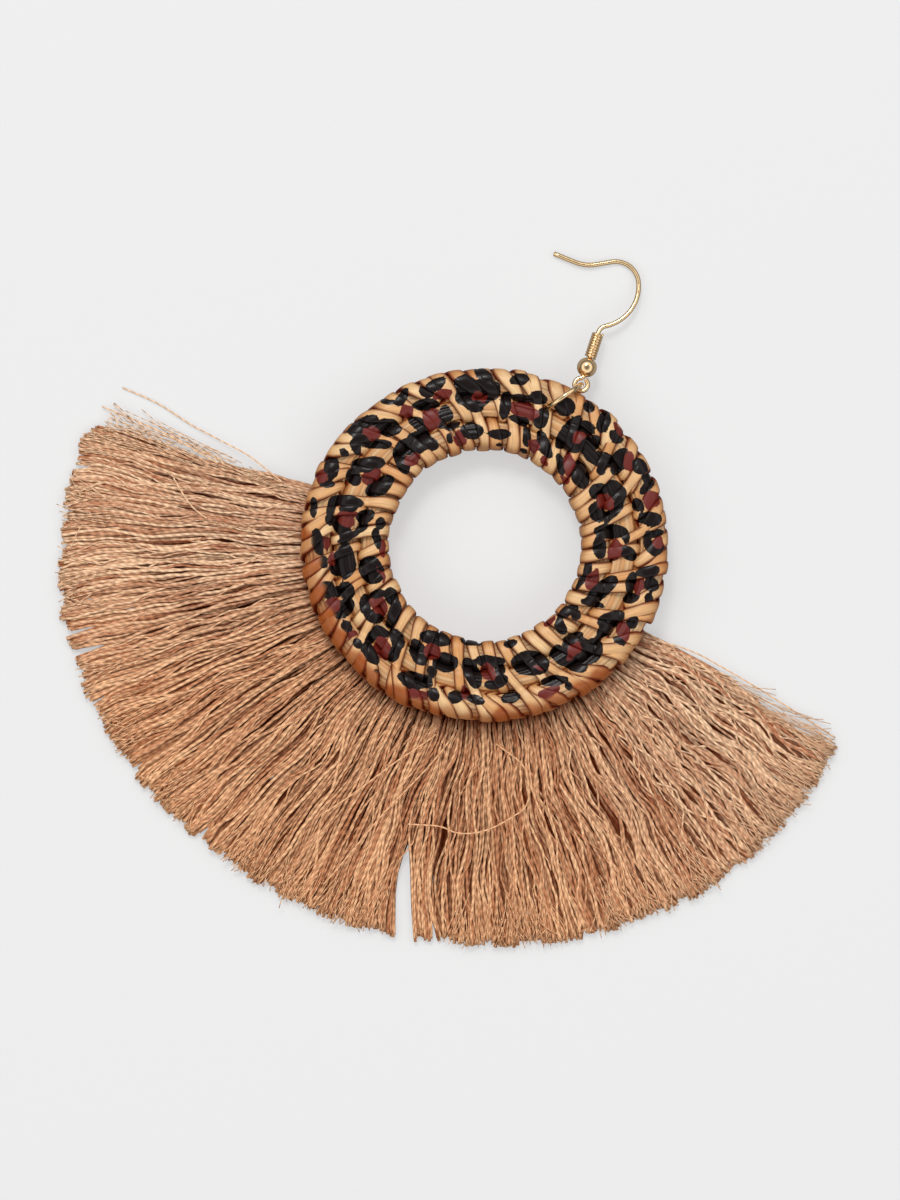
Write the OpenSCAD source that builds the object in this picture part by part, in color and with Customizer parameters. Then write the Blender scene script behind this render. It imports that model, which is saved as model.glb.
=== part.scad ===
// Tassel earring: a flat ring of bound cane, a fan of yarn fringe behind its lower half,
// a jump ring and a fish-hook ear wire with a coil and a ball.
// It lies face up on a flat surface. +Z is up and +Y runs from the fringe to the ear wire.

/* [Cane ring] */
// Radius of the hole, measured to the binding strips
ring_hole_r = 13.2; // [11:0.1:15]
// Radial width of the inner hoop
inner_hoop_w = 2.9; // [2.4:0.1:3.6]
// Radial width of the middle hoop
middle_hoop_w = 2.9; // [2.4:0.1:3.6]
// Radial width of the outer hoop
outer_hoop_w = 3.2; // [2.6:0.1:4]
// Thickness of all three hoops, front to back
hoop_t = 3.6; // [3.2:0.1:4.4]
// Thickness of a binding strip
strip_t = 0.5; // [0.3:0.05:0.6]
// Width of a binding strip
strip_w = 1.8; // [1.2:0.1:2]
// Number of binding strips in each of the two rounds
strip_count = 22; // [18:1:24]
// Slope of the ring as it lies, raised at the fringe, in degrees
ring_tilt = 4; // [2:0.5:6]

/* [Fringe] */
// Length of the longest lock past the rim of the ring
fringe_len = 33.7; // [18:0.1:60]
// Angle that the fan covers round the ring, in degrees
fan_angle = 171; // [130:1:176]
// Thickness of the locks near their tips
tip_t = 1.2; // [0.8:0.1:1.6]
// Depth of the furrow between two locks
furrow_depth = 0.35; // [0.1:0.05:0.6]
// Thickness of the thread that binds the head
thread_d = 0.35; // [0.2:0.05:0.5]
// Rows of thread across the head
thread_rows = 4; // [2:1:5]

/* [Ear wire] */
// Diameter of the ear wire
wire_d = 0.65; // [0.5:0.05:0.8]
// Bend radius of the eye at the lower end, to the middle of the wire
eye_r = 0.9; // [0.85:0.05:1.3]
// Diameter of the ball
ball_d = 2.7; // [2:0.1:4]
// Diameter of the wire of the coil
coil_wire_d = 0.4; // [0.3:0.05:0.6]
// Number of turns of the coil
coil_turns = 10; // [4:1:16]
// Height of the bend above the coil
hook_h = 10.25; // [8:0.05:16]
// Length of the straight free end that goes through the ear
tail_len = 3.2; // [2.4:0.1:6]
// Lean of the ear wire to the left as it lies, in degrees
hook_lean = 6; // [0:1:12]

/* [Jump ring] */
// Diameter of the wire of the jump ring
jump_wire_d = 0.7; // [0.5:0.05:0.8]
// Play of the jump ring over half the thickness of a hoop
jump_play = 0.8; // [0.7:0.05:1.4]
// Place of the jump ring on the ring, clockwise from the top, in degrees
jump_pos = 3.9; // [0:0.1:8]
// Turn of the jump ring away from the radial direction, in degrees
jump_turn = 27; // [15:1:35]

/* [Clearances] */
// Gap between a hoop and the strips that bind it
weave_gap = 0.1; // [0.1:0.01:0.14]
// Gap between metal pieces, and between the jump ring and the cane
fit = 0.1; // [0.08:0.01:0.12]
// Gap between the ring and the head of the fringe
seat_gap = 0.15; // [0.1:0.01:0.3]

/* [Hidden] */

$fn = 64;
floor_lift = 0.02;

// Locks of the fringe, clockwise from the right: width as a weight, reach as a share of
// fringe_len, and the cut after the lock as a share of fringe_len.
WEIGHT_COLUMN = 0;
REACH_COLUMN = 1;
CUT_COLUMN = 2;
LOCKS = [
    [1.00, 0.905, 0.015], [1.06, 0.915, 0.020], [0.96, 0.920, 0.012], [1.08, 0.925, 0.025],
    [1.04, 0.920, 0.015], [0.96, 0.925, 0.020], [1.02, 0.910, 0.030], [1.06, 0.905, 0.015],
    [0.96, 0.900, 0.020], [1.02, 0.905, 0.015], [0.96, 0.890, 0.030], [1.02, 0.885, 0.020],
    [0.92, 0.885, 0.015], [0.66, 0.875, 0.110], [0.84, 0.875, 0.420], [1.02, 0.890, 0.025],
    [1.02, 0.890, 0.015], [0.96, 0.900, 0.020], [1.06, 0.905, 0.015], [0.98, 0.910, 0.025],
    [0.98, 0.910, 0.015], [0.58, 0.915, 0.070], [1.02, 0.930, 0.020], [0.96, 0.945, 0.015],
    [1.02, 0.955, 0.025], [0.94, 0.965, 0.015], [0.82, 0.975, 0.100], [0.78, 0.985, 0.020],
    [0.66, 0.985, 0.150], [0.52, 0.975, 0.140], [1.02, 1.000, 0.015], [1.04, 0.995, 0.020],
    [0.98, 0.970, 0.025], [1.06, 0.975, 0.015], [1.04, 0.955, 0.025], [1.18, 0.930, 0.020]
];
// Columns across one lock: place in the lock, share of the furrow, and share of the cut
PLACE_ENTRY = 0;
FURROW_ENTRY = 1;
CUT_ENTRY = 2;
LOCK_COLUMNS = [[0, 1, 1], [0.18, 0.3, 0], [0.5, 0, 0], [0.82, 0.3, 0]];
// Shares of the way from the rim of the ring to the tip at which the locks have a row
ROW_SHARES = [0.1, 0.35, 0.7, 0.94, 1];

// Bends of the ear wire above the coil, as shares of hook_h: a straight run, then a turn
// in degrees, to the right if positive, and the bend's radius.
RUN_COLUMN = 0;
TURN_COLUMN = 1;
BEND_COLUMN = 2;
HOOK_BENDS = [
    [0, 60, 0.127],
    [0, -84, 0.558],
    [0, -94, 0.303],
    [0.215, 32, 0.49]
];

// Radii of the ring's layers, from the hole outwards
strip_layer = strip_t + weave_gap;
side_flat = 0.1;
inner_hoop_r = ring_hole_r + strip_layer;
middle_hoop_r = inner_hoop_r + inner_hoop_w + strip_t + 2 * weave_gap;
outer_hoop_r = middle_hoop_r + middle_hoop_w + strip_t + 2 * weave_gap;
ring_r = outer_hoop_r + outer_hoop_w + strip_layer;
ring_half_t = hoop_t / 2 + strip_layer;
strip_pitch = 360 / strip_count;
// The round between the two strips that the jump ring passes between
strip_phase = jump_pos + 0.067 * strip_pitch;

// Jump ring: it holds the outer hoop, and the eye passes between it and the hoop
jump_hole_r = max(hoop_t / 2 + jump_play,
                  (outer_hoop_w + wire_d + 3 * fit) / (2 * cos(jump_turn)));
jump_r = jump_hole_r + jump_wire_d / 2;
jump_centre_r = outer_hoop_r + outer_hoop_w + wire_d + 2 * fit - jump_hole_r * cos(jump_turn);
jump_heading = jump_pos + jump_turn;
jump_centre = [jump_centre_r * sin(jump_pos), jump_centre_r * cos(jump_pos),
               jump_r + jump_wire_d / 2];

// Height of the ring's centre: its top end lies on the jump ring
top_support = max(jump_wire_d + 2 * fit, strip_layer + floor_lift);
ring_z = top_support + hoop_t / 2 + jump_centre[1] * sin(ring_tilt);

// Ear wire, from the middle of its eye
eye_centre = jump_centre + jump_r * [sin(jump_heading), cos(jump_heading), 0];
bore_r = wire_d / 2 + fit;
ball_u = eye_r + wire_d / 2 + sqrt(pow(ball_d / 2, 2) - pow(bore_r, 2));
coil_r = bore_r + coil_wire_d / 2;
coil_pitch = 0.95 * coil_wire_d;
coil_u = ball_u + sqrt(pow(ball_d / 2 + coil_wire_d / 2 + fit / 2, 2) - pow(coil_r, 2));
bend_u = coil_u + (coil_turns - 1) * coil_pitch + coil_wire_d / 2;

// Start of each bend as [x, y, heading], with headings clockwise from +Y
function along(at, run) = [at[0] + run * sin(at[2]), at[1] + run * cos(at[2]), at[2]];
function turned(at, turn, r) =
    let (side = sign(turn), end = at[2] + turn)
    [at[0] + side * r * (cos(at[2]) - cos(end)), at[1] + side * r * (sin(end) - sin(at[2])), end];
function bend_start(i) =
    i == 0 ? along([0, bend_u, 0], hook_h * HOOK_BENDS[0][RUN_COLUMN])
           : along(bend_end(i - 1), hook_h * HOOK_BENDS[i][RUN_COLUMN]);
function bend_end(i) = turned(bend_start(i), HOOK_BENDS[i][TURN_COLUMN], hook_h * HOOK_BENDS[i][BEND_COLUMN]);
last_bend = len(HOOK_BENDS) - 1;
bead_d = 1.03 * wire_d;
bead_inset = 0.03;
tail_start = bend_end(last_bend);
tail_end = along(tail_start, tail_len);

// The wire's highest point lies where the third bend's heading passes -90 degrees
crest_start = bend_start(2);
crest = turned(crest_start, -90 - crest_start[2], hook_h * HOOK_BENDS[2][BEND_COLUMN]);
rest_z = wire_d / 2 + floor_lift;
hook_dip = asin((eye_centre[2] - rest_z) / crest[1]);
hook_roll = asin((rest_z + tail_end[1] * sin(hook_dip) - eye_centre[2]) / tail_end[0]);

// Fan of the fringe
fan_start = 180 - fan_angle / 2;
head_inset = 0.3;
head_r = ring_hole_r + head_inset;
head_rise = 0.9;
head_recess = thread_d + floor_lift + fit;
recess_inset = 0.4;
recess_end_r = outer_hoop_r - recess_inset;
recess_ramp = 1.2;
edge_full_share = 0.55;
tip_bevel_share = 0.4;
shoulder_share = 0.012;
fall_power = 1.6;

width_sum = [for (i = 0, s = 0; i < len(LOCKS); s = s + LOCKS[i][WEIGHT_COLUMN], i = i + 1) s];
width_total = width_sum[len(LOCKS) - 1] + LOCKS[len(LOCKS) - 1][WEIGHT_COLUMN];
last_lock = len(LOCKS) - 1;
function lock_angle(i, share) =
    fan_start + fan_angle * (width_sum[i] + share * LOCKS[i][WEIGHT_COLUMN]) / width_total;
function cut_share(i) =
    i == 0 ? LOCKS[0][REACH_COLUMN] - LOCKS[0][CUT_COLUMN]
           : min(LOCKS[i][REACH_COLUMN], LOCKS[i - 1][REACH_COLUMN]) - LOCKS[i - 1][CUT_COLUMN];
function column_reach(i, c) =
    c[CUT_ENTRY] > 0 ? cut_share(i) : LOCKS[i][REACH_COLUMN] - shoulder_share * c[FURROW_ENTRY];

// Each column of the fan as [angle, radius of its tip, furrow, share of the full height]
COLUMNS = [
    for (i = [0 : last_lock]) for (c = LOCK_COLUMNS)
        [lock_angle(i, c[PLACE_ENTRY]), ring_r + fringe_len * column_reach(i, c),
         furrow_depth * c[FURROW_ENTRY], i == 0 && c[PLACE_ENTRY] == 0 ? edge_full_share : 1],
    [lock_angle(last_lock, 1),
     ring_r + fringe_len * (LOCKS[last_lock][REACH_COLUMN] - LOCKS[last_lock][CUT_COLUMN]),
     furrow_depth, edge_full_share]
];
ANGLE_ENTRY = 0;
TIP_ENTRY = 1;
DEPTH_ENTRY = 2;
FULL_ENTRY = 3;

// Height of the fan's top where the ring lies on it, and past the ring's rim
function seat_z(r, angle) =
    ring_z - r * cos(angle) * tan(ring_tilt) - ring_half_t / cos(ring_tilt) - seat_gap;
function lock_z(share, angle) =
    tip_t + (seat_z(ring_r, angle) - tip_t) * pow(1 - share, fall_power);
function spot(r, angle, z) = [r * sin(angle), r * cos(angle), z];
function head_spot(c, r, share) =
    spot(r, c[ANGLE_ENTRY],
         head_recess + (seat_z(r, c[ANGLE_ENTRY]) - c[DEPTH_ENTRY] - head_recess) * share * c[FULL_ENTRY]);
function lock_spot(c, share) =
    let (r = ring_r + (c[TIP_ENTRY] - ring_r) * share,
         z = (lock_z(share, c[ANGLE_ENTRY]) - c[DEPTH_ENTRY]) * c[FULL_ENTRY])
    spot(r, c[ANGLE_ENTRY], share == 1 ? z * tip_bevel_share : z);

TOP_ROWS = concat(
    [[for (c = COLUMNS) head_spot(c, head_r, 0.5)]],
    [[for (c = COLUMNS) head_spot(c, head_r + head_rise, 0.9)]],
    [[for (c = COLUMNS) head_spot(c, head_r + 3 * head_rise, 1)]],
    [[for (c = COLUMNS) head_spot(c, ring_r, 1)]],
    [for (share = ROW_SHARES) [for (c = COLUMNS) lock_spot(c, share)]]
);
UNDER_ROWS = [
    [for (c = COLUMNS) spot(head_r + head_rise, c[ANGLE_ENTRY], head_recess)],
    [for (c = COLUMNS) spot(recess_end_r, c[ANGLE_ENTRY], head_recess)],
    [for (c = COLUMNS) spot(recess_end_r + recess_ramp, c[ANGLE_ENTRY], 0)],
    [for (c = COLUMNS) spot(c[TIP_ENTRY], c[ANGLE_ENTRY], 0)]
];

// Place of the origin: under the middle of the whole earring's box
fan_tips = TOP_ROWS[len(TOP_ROWS) - 1];
fan_low_y = min([for (p = fan_tips) p[1]]);
hook_high_y = eye_centre[1] + crest[1] * cos(hook_lean) * cos(hook_dip) + wire_d / 2;
origin_x = (min([for (p = fan_tips) p[0]]) + max([for (p = fan_tips) p[0]])) / 2;
origin_y = (fan_low_y + hook_high_y) / 2;

// Moves a piece from the ring's centre to the earring's origin
module set_down() {
    translate([-origin_x, -origin_y, 0]) children();
}

// Lays a piece of the ring at its slope
module sloped() {
    translate([0, 0, ring_z]) rotate([-ring_tilt, 0, 0]) children();
}

// Flat outline with round corners, centred on the X axis and starting at x = 0
module round_bar(w, t, r) {
    translate([r, -t / 2]) square([w - 2 * r, t]);
    translate([0, -t / 2 + r]) square([w, t - 2 * r]);
    for (x = [r, w - r], y = [-t / 2 + r, t / 2 - r]) translate([x, y]) circle(r);
}

// One hoop of the ring
module hoop(r, w) {
    corner = min(w, hoop_t) / 2 - side_flat;
    rotate_extrude($fn = 128) translate([r, 0]) round_bar(w, hoop_t, corner);
}

// One strip, bound round the two hoops between radius r and radius r + w
module strip(r, w) {
    corner = min(inner_hoop_w, middle_hoop_w, outer_hoop_w, hoop_t) / 2 - side_flat;
    rotate([90, 0, 0]) translate([0, 0, -strip_w / 2]) linear_extrude(strip_w)
        difference() {
            translate([r - strip_layer, 0])
                round_bar(w + 2 * strip_layer, 2 * ring_half_t, corner + strip_layer);
            translate([r - weave_gap, 0])
                round_bar(w + 2 * weave_gap, hoop_t + 2 * weave_gap, corner + weave_gap);
        }
}

// One round of strips
module strip_round(r, w, phase) {
    for (i = [0 : strip_count - 1]) rotate(90 - phase - i * strip_pitch) strip(r, w);
}

// A ring of round wire standing on edge at the jump ring's place
module jump_path(d) {
    translate(jump_centre) rotate([90, 0, 90 - jump_heading])
        rotate_extrude($fn = 96) translate([jump_r, 0]) circle(d = d);
}

// Brings a piece of the ear wire from its own plane to the place where it lies
module on_hook() {
    translate(eye_centre) rotate([0, 0, hook_lean]) rotate([0, -hook_roll, 0])
        rotate([-hook_dip, 0, 0]) children();
}

// Straight run of the ear wire from one [x, y, heading], short of the beads at its ends
module wire_run(at, run) {
    translate([at[0], at[1], 0]) rotate([-90, 0, -at[2]]) translate([0, 0, bead_inset])
        cylinder(h = run - 2 * bead_inset, d = wire_d);
}

// Bend of the ear wire from one [x, y, heading], short of the beads at its ends
module wire_bend(at, turn, r) {
    side = sign(turn);
    inset = asin(bead_inset / r);
    translate([at[0], at[1], 0]) rotate(-at[2]) translate([side * r, 0, 0])
        mirror([side > 0 ? 1 : 0, 0, 0]) rotate(inset)
            rotate_extrude(angle = abs(turn) - 2 * inset, $fn = 96)
                translate([r, 0]) circle(d = wire_d);
}

// Bead that joins two lengths of the ear wire, a hair thicker than the wire and turned with it
module wire_bead(at) {
    translate([at[0], at[1], 0]) rotate(-at[2]) sphere(d = bead_d, $fn = 32);
}

module inner_hoop() {
    color("tan") set_down() sloped() hoop(inner_hoop_r, inner_hoop_w);
}

module middle_hoop() {
    color("burlywood") set_down() difference() {
        sloped() hoop(middle_hoop_r, middle_hoop_w);
        jump_path(jump_wire_d + 2 * fit);
    }
}

module outer_hoop() {
    color("tan") set_down() sloped() hoop(outer_hoop_r, outer_hoop_w);
}

module inner_binding() {
    w = middle_hoop_r + middle_hoop_w - inner_hoop_r;
    color("peru") set_down() difference() {
        sloped() strip_round(inner_hoop_r, w, strip_phase);
        jump_path(jump_wire_d + 2 * fit);
    }
}

module outer_binding() {
    w = outer_hoop_r + outer_hoop_w - middle_hoop_r;
    color("chocolate") set_down() difference() {
        sloped() strip_round(middle_hoop_r, w, strip_phase + strip_pitch / 2);
        jump_path(jump_wire_d + 2 * fit);
    }
}

module fringe() {
    n = len(COLUMNS);
    points = concat([for (row = TOP_ROWS) each row], [for (row = UNDER_ROWS) each row]);
    top_last = len(TOP_ROWS) - 1;
    under_first = len(TOP_ROWS);
    under_last = len(TOP_ROWS) + len(UNDER_ROWS) - 1;
    top_faces = [
        for (j = [0 : top_last - 1]) for (i = [0 : n - 2])
            [j * n + i, (j + 1) * n + i, (j + 1) * n + i + 1, j * n + i + 1]
    ];
    under_faces = [
        for (j = [under_first : under_last - 1]) for (i = [0 : n - 2])
            [j * n + i, j * n + i + 1, (j + 1) * n + i + 1, (j + 1) * n + i]
    ];
    head_faces = [
        for (i = [0 : n - 2]) [i, i + 1, under_first * n + i + 1, under_first * n + i]
    ];
    tip_faces = [
        for (i = [0 : n - 2])
            [top_last * n + i, under_last * n + i, under_last * n + i + 1, top_last * n + i + 1]
    ];
    right_end = concat([0], [for (j = [under_first : under_last]) j * n],
                       [for (j = [top_last : -1 : 1]) j * n]);
    left_end = concat([for (j = [0 : top_last]) j * n + n - 1],
                      [for (j = [under_last : -1 : under_first]) j * n + n - 1]);
    color("rosybrown") set_down()
        polyhedron(points, concat(top_faces, under_faces, head_faces, tip_faces,
                                  [right_end, left_end]), convexity = 10);
}

module head_thread() {
    reach = recess_end_r - head_r - 2 * head_rise;
    side_margin = 2.5;
    color("palegoldenrod") set_down() for (i = [0 : thread_rows - 1])
        rotate(90 - (fan_start + fan_angle - side_margin))
            rotate_extrude(angle = fan_angle - 2 * side_margin, $fn = 128)
                translate([head_r + 1.5 * head_rise + reach * i / (thread_rows - 1),
                           thread_d / 2 + floor_lift])
                    circle(d = thread_d, $fn = 24);
}

module jump_ring() {
    color("gold") set_down() jump_path(jump_wire_d);
}

module ear_hook() {
    color("gold") set_down() on_hook() {
        rotate_extrude($fn = 64) translate([eye_r, 0]) circle(d = wire_d);
        wire_run([0, eye_r - bead_inset, 0], bend_u - eye_r + bead_inset);
        for (i = [0 : last_bend]) {
            start = bend_start(i);
            run = hook_h * HOOK_BENDS[i][RUN_COLUMN];
            if (run > 0) {
                wire_bead(bend_end(i - 1));
                wire_run(bend_end(i - 1), run);
            }
            wire_bead(start);
            wire_bend(start, HOOK_BENDS[i][TURN_COLUMN], hook_h * HOOK_BENDS[i][BEND_COLUMN]);
        }
        wire_bead(tail_start);
        wire_run(tail_start, tail_len + bead_inset);
    }
}

module hook_coil() {
    color("goldenrod") set_down() on_hook() rotate([-90, 0, 0])
        rotate_extrude($fn = 64)
            for (i = [0 : coil_turns - 1])
                translate([coil_r, coil_u + i * coil_pitch]) circle(d = coil_wire_d, $fn = 24);
}

module hook_ball() {
    color("gold") set_down() on_hook() translate([0, ball_u, 0]) rotate([-90, 0, 0])
        difference() {
            sphere(d = ball_d);
            cylinder(h = 2 * ball_d, r = bore_r, center = true, $fn = 32);
        }
}

inner_hoop();
middle_hoop();
outer_hoop();
inner_binding();
outer_binding();
fringe();
head_thread();
jump_ring();
ear_hook();
hook_coil();
hook_ball();
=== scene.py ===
import math

import bpy
import numpy as np
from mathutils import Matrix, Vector


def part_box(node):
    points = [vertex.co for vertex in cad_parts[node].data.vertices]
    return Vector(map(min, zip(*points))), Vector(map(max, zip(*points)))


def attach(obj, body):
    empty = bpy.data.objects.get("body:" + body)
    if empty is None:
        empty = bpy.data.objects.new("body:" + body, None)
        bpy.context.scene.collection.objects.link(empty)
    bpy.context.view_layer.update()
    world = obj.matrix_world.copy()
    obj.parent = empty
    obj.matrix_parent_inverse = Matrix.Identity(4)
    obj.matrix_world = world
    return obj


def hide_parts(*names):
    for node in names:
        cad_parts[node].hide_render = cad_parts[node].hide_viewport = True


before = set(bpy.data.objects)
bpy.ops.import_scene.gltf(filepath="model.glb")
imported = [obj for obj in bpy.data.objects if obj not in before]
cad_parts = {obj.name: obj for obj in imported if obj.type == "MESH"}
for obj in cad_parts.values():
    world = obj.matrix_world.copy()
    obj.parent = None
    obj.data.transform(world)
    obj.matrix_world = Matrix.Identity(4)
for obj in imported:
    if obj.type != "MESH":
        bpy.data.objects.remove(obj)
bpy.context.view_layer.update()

bl_info = {
    "name": "Tassel Earring",
    "version": (1, 0, 0),
    "blender": (4, 5, 0),
    "location": "3D View > Sidebar > Earring",
    "description": "Dresses a tassel earring: a ring of bound cane, a fan of yarn and a gilt ear wire",
    "category": "Object",
}

# Sizes are in millimetres, angles in degrees clockwise from the top of the ring, seen from the
# front. Meshes are turned to metres where they are made.
MM = 0.001
SEED = 11
UP = np.array([0.0, 0.0, 1.0])


def box_mm(node):
    """The lowest and highest corner of a CAD node, in millimetres."""
    low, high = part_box(node)
    return np.array(low) / MM, np.array(high) / MM


# The ring of cane, as the CAD nodes have it. The rim is slightly oval from OVAL_START outwards.
RING_TILT = math.radians(4)
RING_CENTRE = sum(box_mm("outer_hoop")) / 2
RING_FOOT = RING_CENTRE * [1, 1, 0]
RING_HALF_T = 2.4
HOLE_R = 13.2
RIM_R = 24.8
OVAL_START = 16
OVAL_DEPTH = 0.95
OVAL_TURN = math.radians(-24)
HOOP_T = 3.6
HOOPS = {
    "inner": dict(low=13.8, high=16.7),
    "middle": dict(low=17.4, high=20.3),
    "outer": dict(low=21.0, high=24.2),
}
HOOP_SEAMS = [(HOOPS["inner"]["high"] + HOOPS["middle"]["low"]) / 2,
              (HOOPS["middle"]["high"] + HOOPS["outer"]["low"]) / 2]
# How far the canes of a hoop stand out past the CAD hoop, to the sides and to the front
CANE_SWELL = 0.37
CANE_RISE = 0.04
CANE_CORNER = 1.6
CANE_GROOVE = 0.16
CANE_UNEVEN = 0.05
# Steps of a hoop's mesh along it and round it
HOOP_STEPS = (280, 60)

# The strips bound round the hoops. STRIP_ROUND is the length round a strip, one turn of its
# pattern, and STRIP_STEP the length of one step along it.
STRIP_COUNT = 22
STRIP_PITCH = 360 / STRIP_COUNT
STRIP_ROUND = 4.2
STRIP_STEP = 0.34
STRIP_CLEAR = 0.1
STRIP_CORNER = 1.5
# How unevenly the strips lie: degrees off their angle, sway in degrees and bumps in millimetres
# along each, roll in degrees, share of the width, and how deep they sag between two hoops
STRIP_STRAY = 0.45
STRIP_SWAY = 0.35
STRIP_BUMP = 0.1
STRIP_ROLL = 3.5
STRIP_SPREAD = 0.06
STRIP_SAG = 0.5
STRIP_SAG_WIDTH = 0.75
# The radii over which the strips swell towards the hole, and towards the rim
HOLE_SWELL_RUN = (16.5, 13.6)
RIM_SWELL_RUN = (HOOPS["outer"]["low"], HOOPS["outer"]["high"])
INNER_PHASE = 5.0
OUTER_PHASE = INNER_PHASE + STRIP_PITCH / 2
# Each row of strips: the radii that it goes round, the angle of the first strip in each of its
# rounds, and how far it lies over the other rows. slants are the degrees by which a strip is off
# its angle at the front's inner and outer side, then at the back's outer and inner side. swell
# is how much wider, as a share, the strips are at the hole and at the rim.
BINDINGS = [
    dict(name="inner_straps", stands_for=["inner_binding"], width="inner_strip_width",
         low=HOOPS["inner"]["low"], high=HOOPS["middle"]["high"], phases=[INNER_PHASE],
         slants=(3.2, -3.2, -2.6, 2.6), lift=0.05, swell=(0.2, 0)),
    dict(name="outer_straps", stands_for=["outer_binding"], width="outer_strip_width",
         low=HOOPS["middle"]["low"], high=HOOPS["outer"]["high"], phases=[OUTER_PHASE],
         slants=(3.6, -4.6, -5.4, -1.0), lift=0.0, swell=(0, 0.35)),
    dict(name="rim_wraps", stands_for=[], width="rim_wrap_width",
         low=HOOPS["outer"]["low"] + 0.1, high=HOOPS["outer"]["high"],
         phases=[OUTER_PHASE + STRIP_PITCH / 3, OUTER_PHASE + STRIP_PITCH * 2 / 3],
         slants=(4.2, -3.2, -5.4, -9.0), lift=-0.03, swell=(0, 0.3)),
    dict(name="hole_wraps", stands_for=[], width="hole_wrap_width",
         low=HOOPS["inner"]["low"], high=HOOPS["inner"]["high"] - 0.1, phases=[OUTER_PHASE],
         slants=(2.6, -1.6, -1.6, 2.6), lift=-0.03, swell=(0.15, 0)),
]

# The fan of yarn: where it starts and ends, how far inside that its strands begin, the height of
# its tips, the gap under the ring, and the most by which the painted shade on a strand's lower side
# looks deeper in the fan than on its upper side, as a share of the fan's height
FAN_START = 94.5
FAN_END = 265.5
FAN_INSET = 0.3
TIP_T = 1.2
SEAT_GAP = 0.15
UNDERSIDE_SHADE = 0.36
# The strands gather in locks of LOCK_WIDTH degrees, and each lock curls in two waves: their
# size, their length and how much the phase turns from one lock to the next
LOCK_WIDTH = 2.3
LOCK_CURLS = [(0.11, 17, 2.4), (0.05, 8.5, 5.1)]
FAN_SWAY = 0.22
# Degrees by which a strand's head strays, also where it crosses others, and the millimetres cut
# off a short one
HEAD_STRAY = 0.5
CROSSING_STRAY = 5
SHORT_CUT = (2, 16)
# The layers of strands. heights are shares of the way from the floor to the fan's top, start is
# the radius where the strands begin, thick the share of the yarn's own thickness, gather how far
# they close up to locks, and crossing and short the shares of strands that lie across the others
# or end early. Each wave is its shortest length, longest length and size.
FAN_LAYERS = [
    dict(name="fringe_base", stands_for=["fringe"], count=850, heights=(0.0, 0.15), start=19.4,
         thick=1.25, steps=14, corners=4, gather=0.0, crossing=0.0, short=0.0,
         waves=[(16, 34, 0.15)]),
    dict(name="fringe_low", stands_for=[], count=600, heights=(0.25, 0.45), start=21.0,
         thick=1.15, steps=18, corners=4, gather=0.05, crossing=0.05, short=0.05,
         waves=[(16, 34, 0.25), (7, 13, 0.08)]),
    dict(name="fringe_middle", stands_for=[], count=480, heights=(0.5, 0.66), start=21.5,
         thick=1.05, steps=22, corners=4, gather=0.1, crossing=0.08, short=0.05,
         waves=[(14, 30, 0.25), (6.5, 12, 0.12), (3.6, 6.5, 0.04)]),
    dict(name="fringe_upper", stands_for=[], count=340, heights=(0.72, 0.86), start=21.5,
         thick=1.0, steps=30, corners=4, gather=0.15, crossing=0.1, short=0.05,
         waves=[(14, 30, 0.25), (6.5, 12, 0.12), (3.4, 5.5, 0.05)]),
    dict(name="fringe_top", stands_for=[], count=200, heights=(0.92, 1.0), start=21.5,
         thick=1.0, steps=36, corners=5, gather=0.15, crossing=0.15, short=0.1,
         waves=[(14, 30, 0.28), (6.5, 12, 0.13), (3.2, 5.5, 0.06)]),
    dict(name="fringe_surface", stands_for=[], count=170, heights=(0.98, 1.0), start=21.5,
         thick=0.7, steps=36, corners=5, gather=0.0, crossing=0.6, short=0.4,
         waves=[(12, 26, 0.5), (6, 11, 0.22), (3.0, 5, 0.08)]),
]
HEIGHT_WAVES = [(9, 26, 0.10), (4, 8, 0.04)]
# Where the fan parts: angle at the tips, depth from the tips and half the gap at the tips in
# millimetres, and degrees by which the inner end lies off the angle
FAN_SPLITS = [
    (163.1, 3.8, 0.4, 0.6), (167.5, 15.5, 1.4, 3.4), (200.2, 3.4, 0.5, 0.3),
    (224.0, 3.6, 0.35, 0.4), (231.3, 7.0, 0.6, -0.5), (233.9, 6.0, 0.5, 0.5),
    (118.0, 1.8, 0.3, 0.3), (142.0, 1.7, 0.25, 0.2), (213.5, 2.2, 0.3, 0.3),
    (246.0, 2.0, 0.22, 0.3), (256.5, 2.4, 0.25, 0.2),
]
# Degrees beside a parting in which it bends the strands, and in which it pushes them apart
SPLIT_BEND = 7
SPLIT_PUSH = 4
# Where the fan is thin: angle, degrees to each side, share of the strands that are cut short
# there, and by how much
SPARSE_ANGLE = 170.1
SPARSE_HALF = 1.5
SPARSE_SHARE = 0.7
SPARSE_CUT = (6, 18)
# Untwisted fibres: how many at the tips, and for each upper edge its angle, its side, how many,
# and the degrees inside it where they leave the fan. FIBRE_D and LOOSE_D are the diameters of a
# fibre and of a loose strand, as shares of the yarn's.
TIP_FIBRES = 1000
EDGE_FIBRES = [(FAN_END, 1, 65, 4.5), (FAN_START, -1, 40, 2.5)]
FIBRE_D = 0.38
LOOSE_D = 0.5
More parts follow.
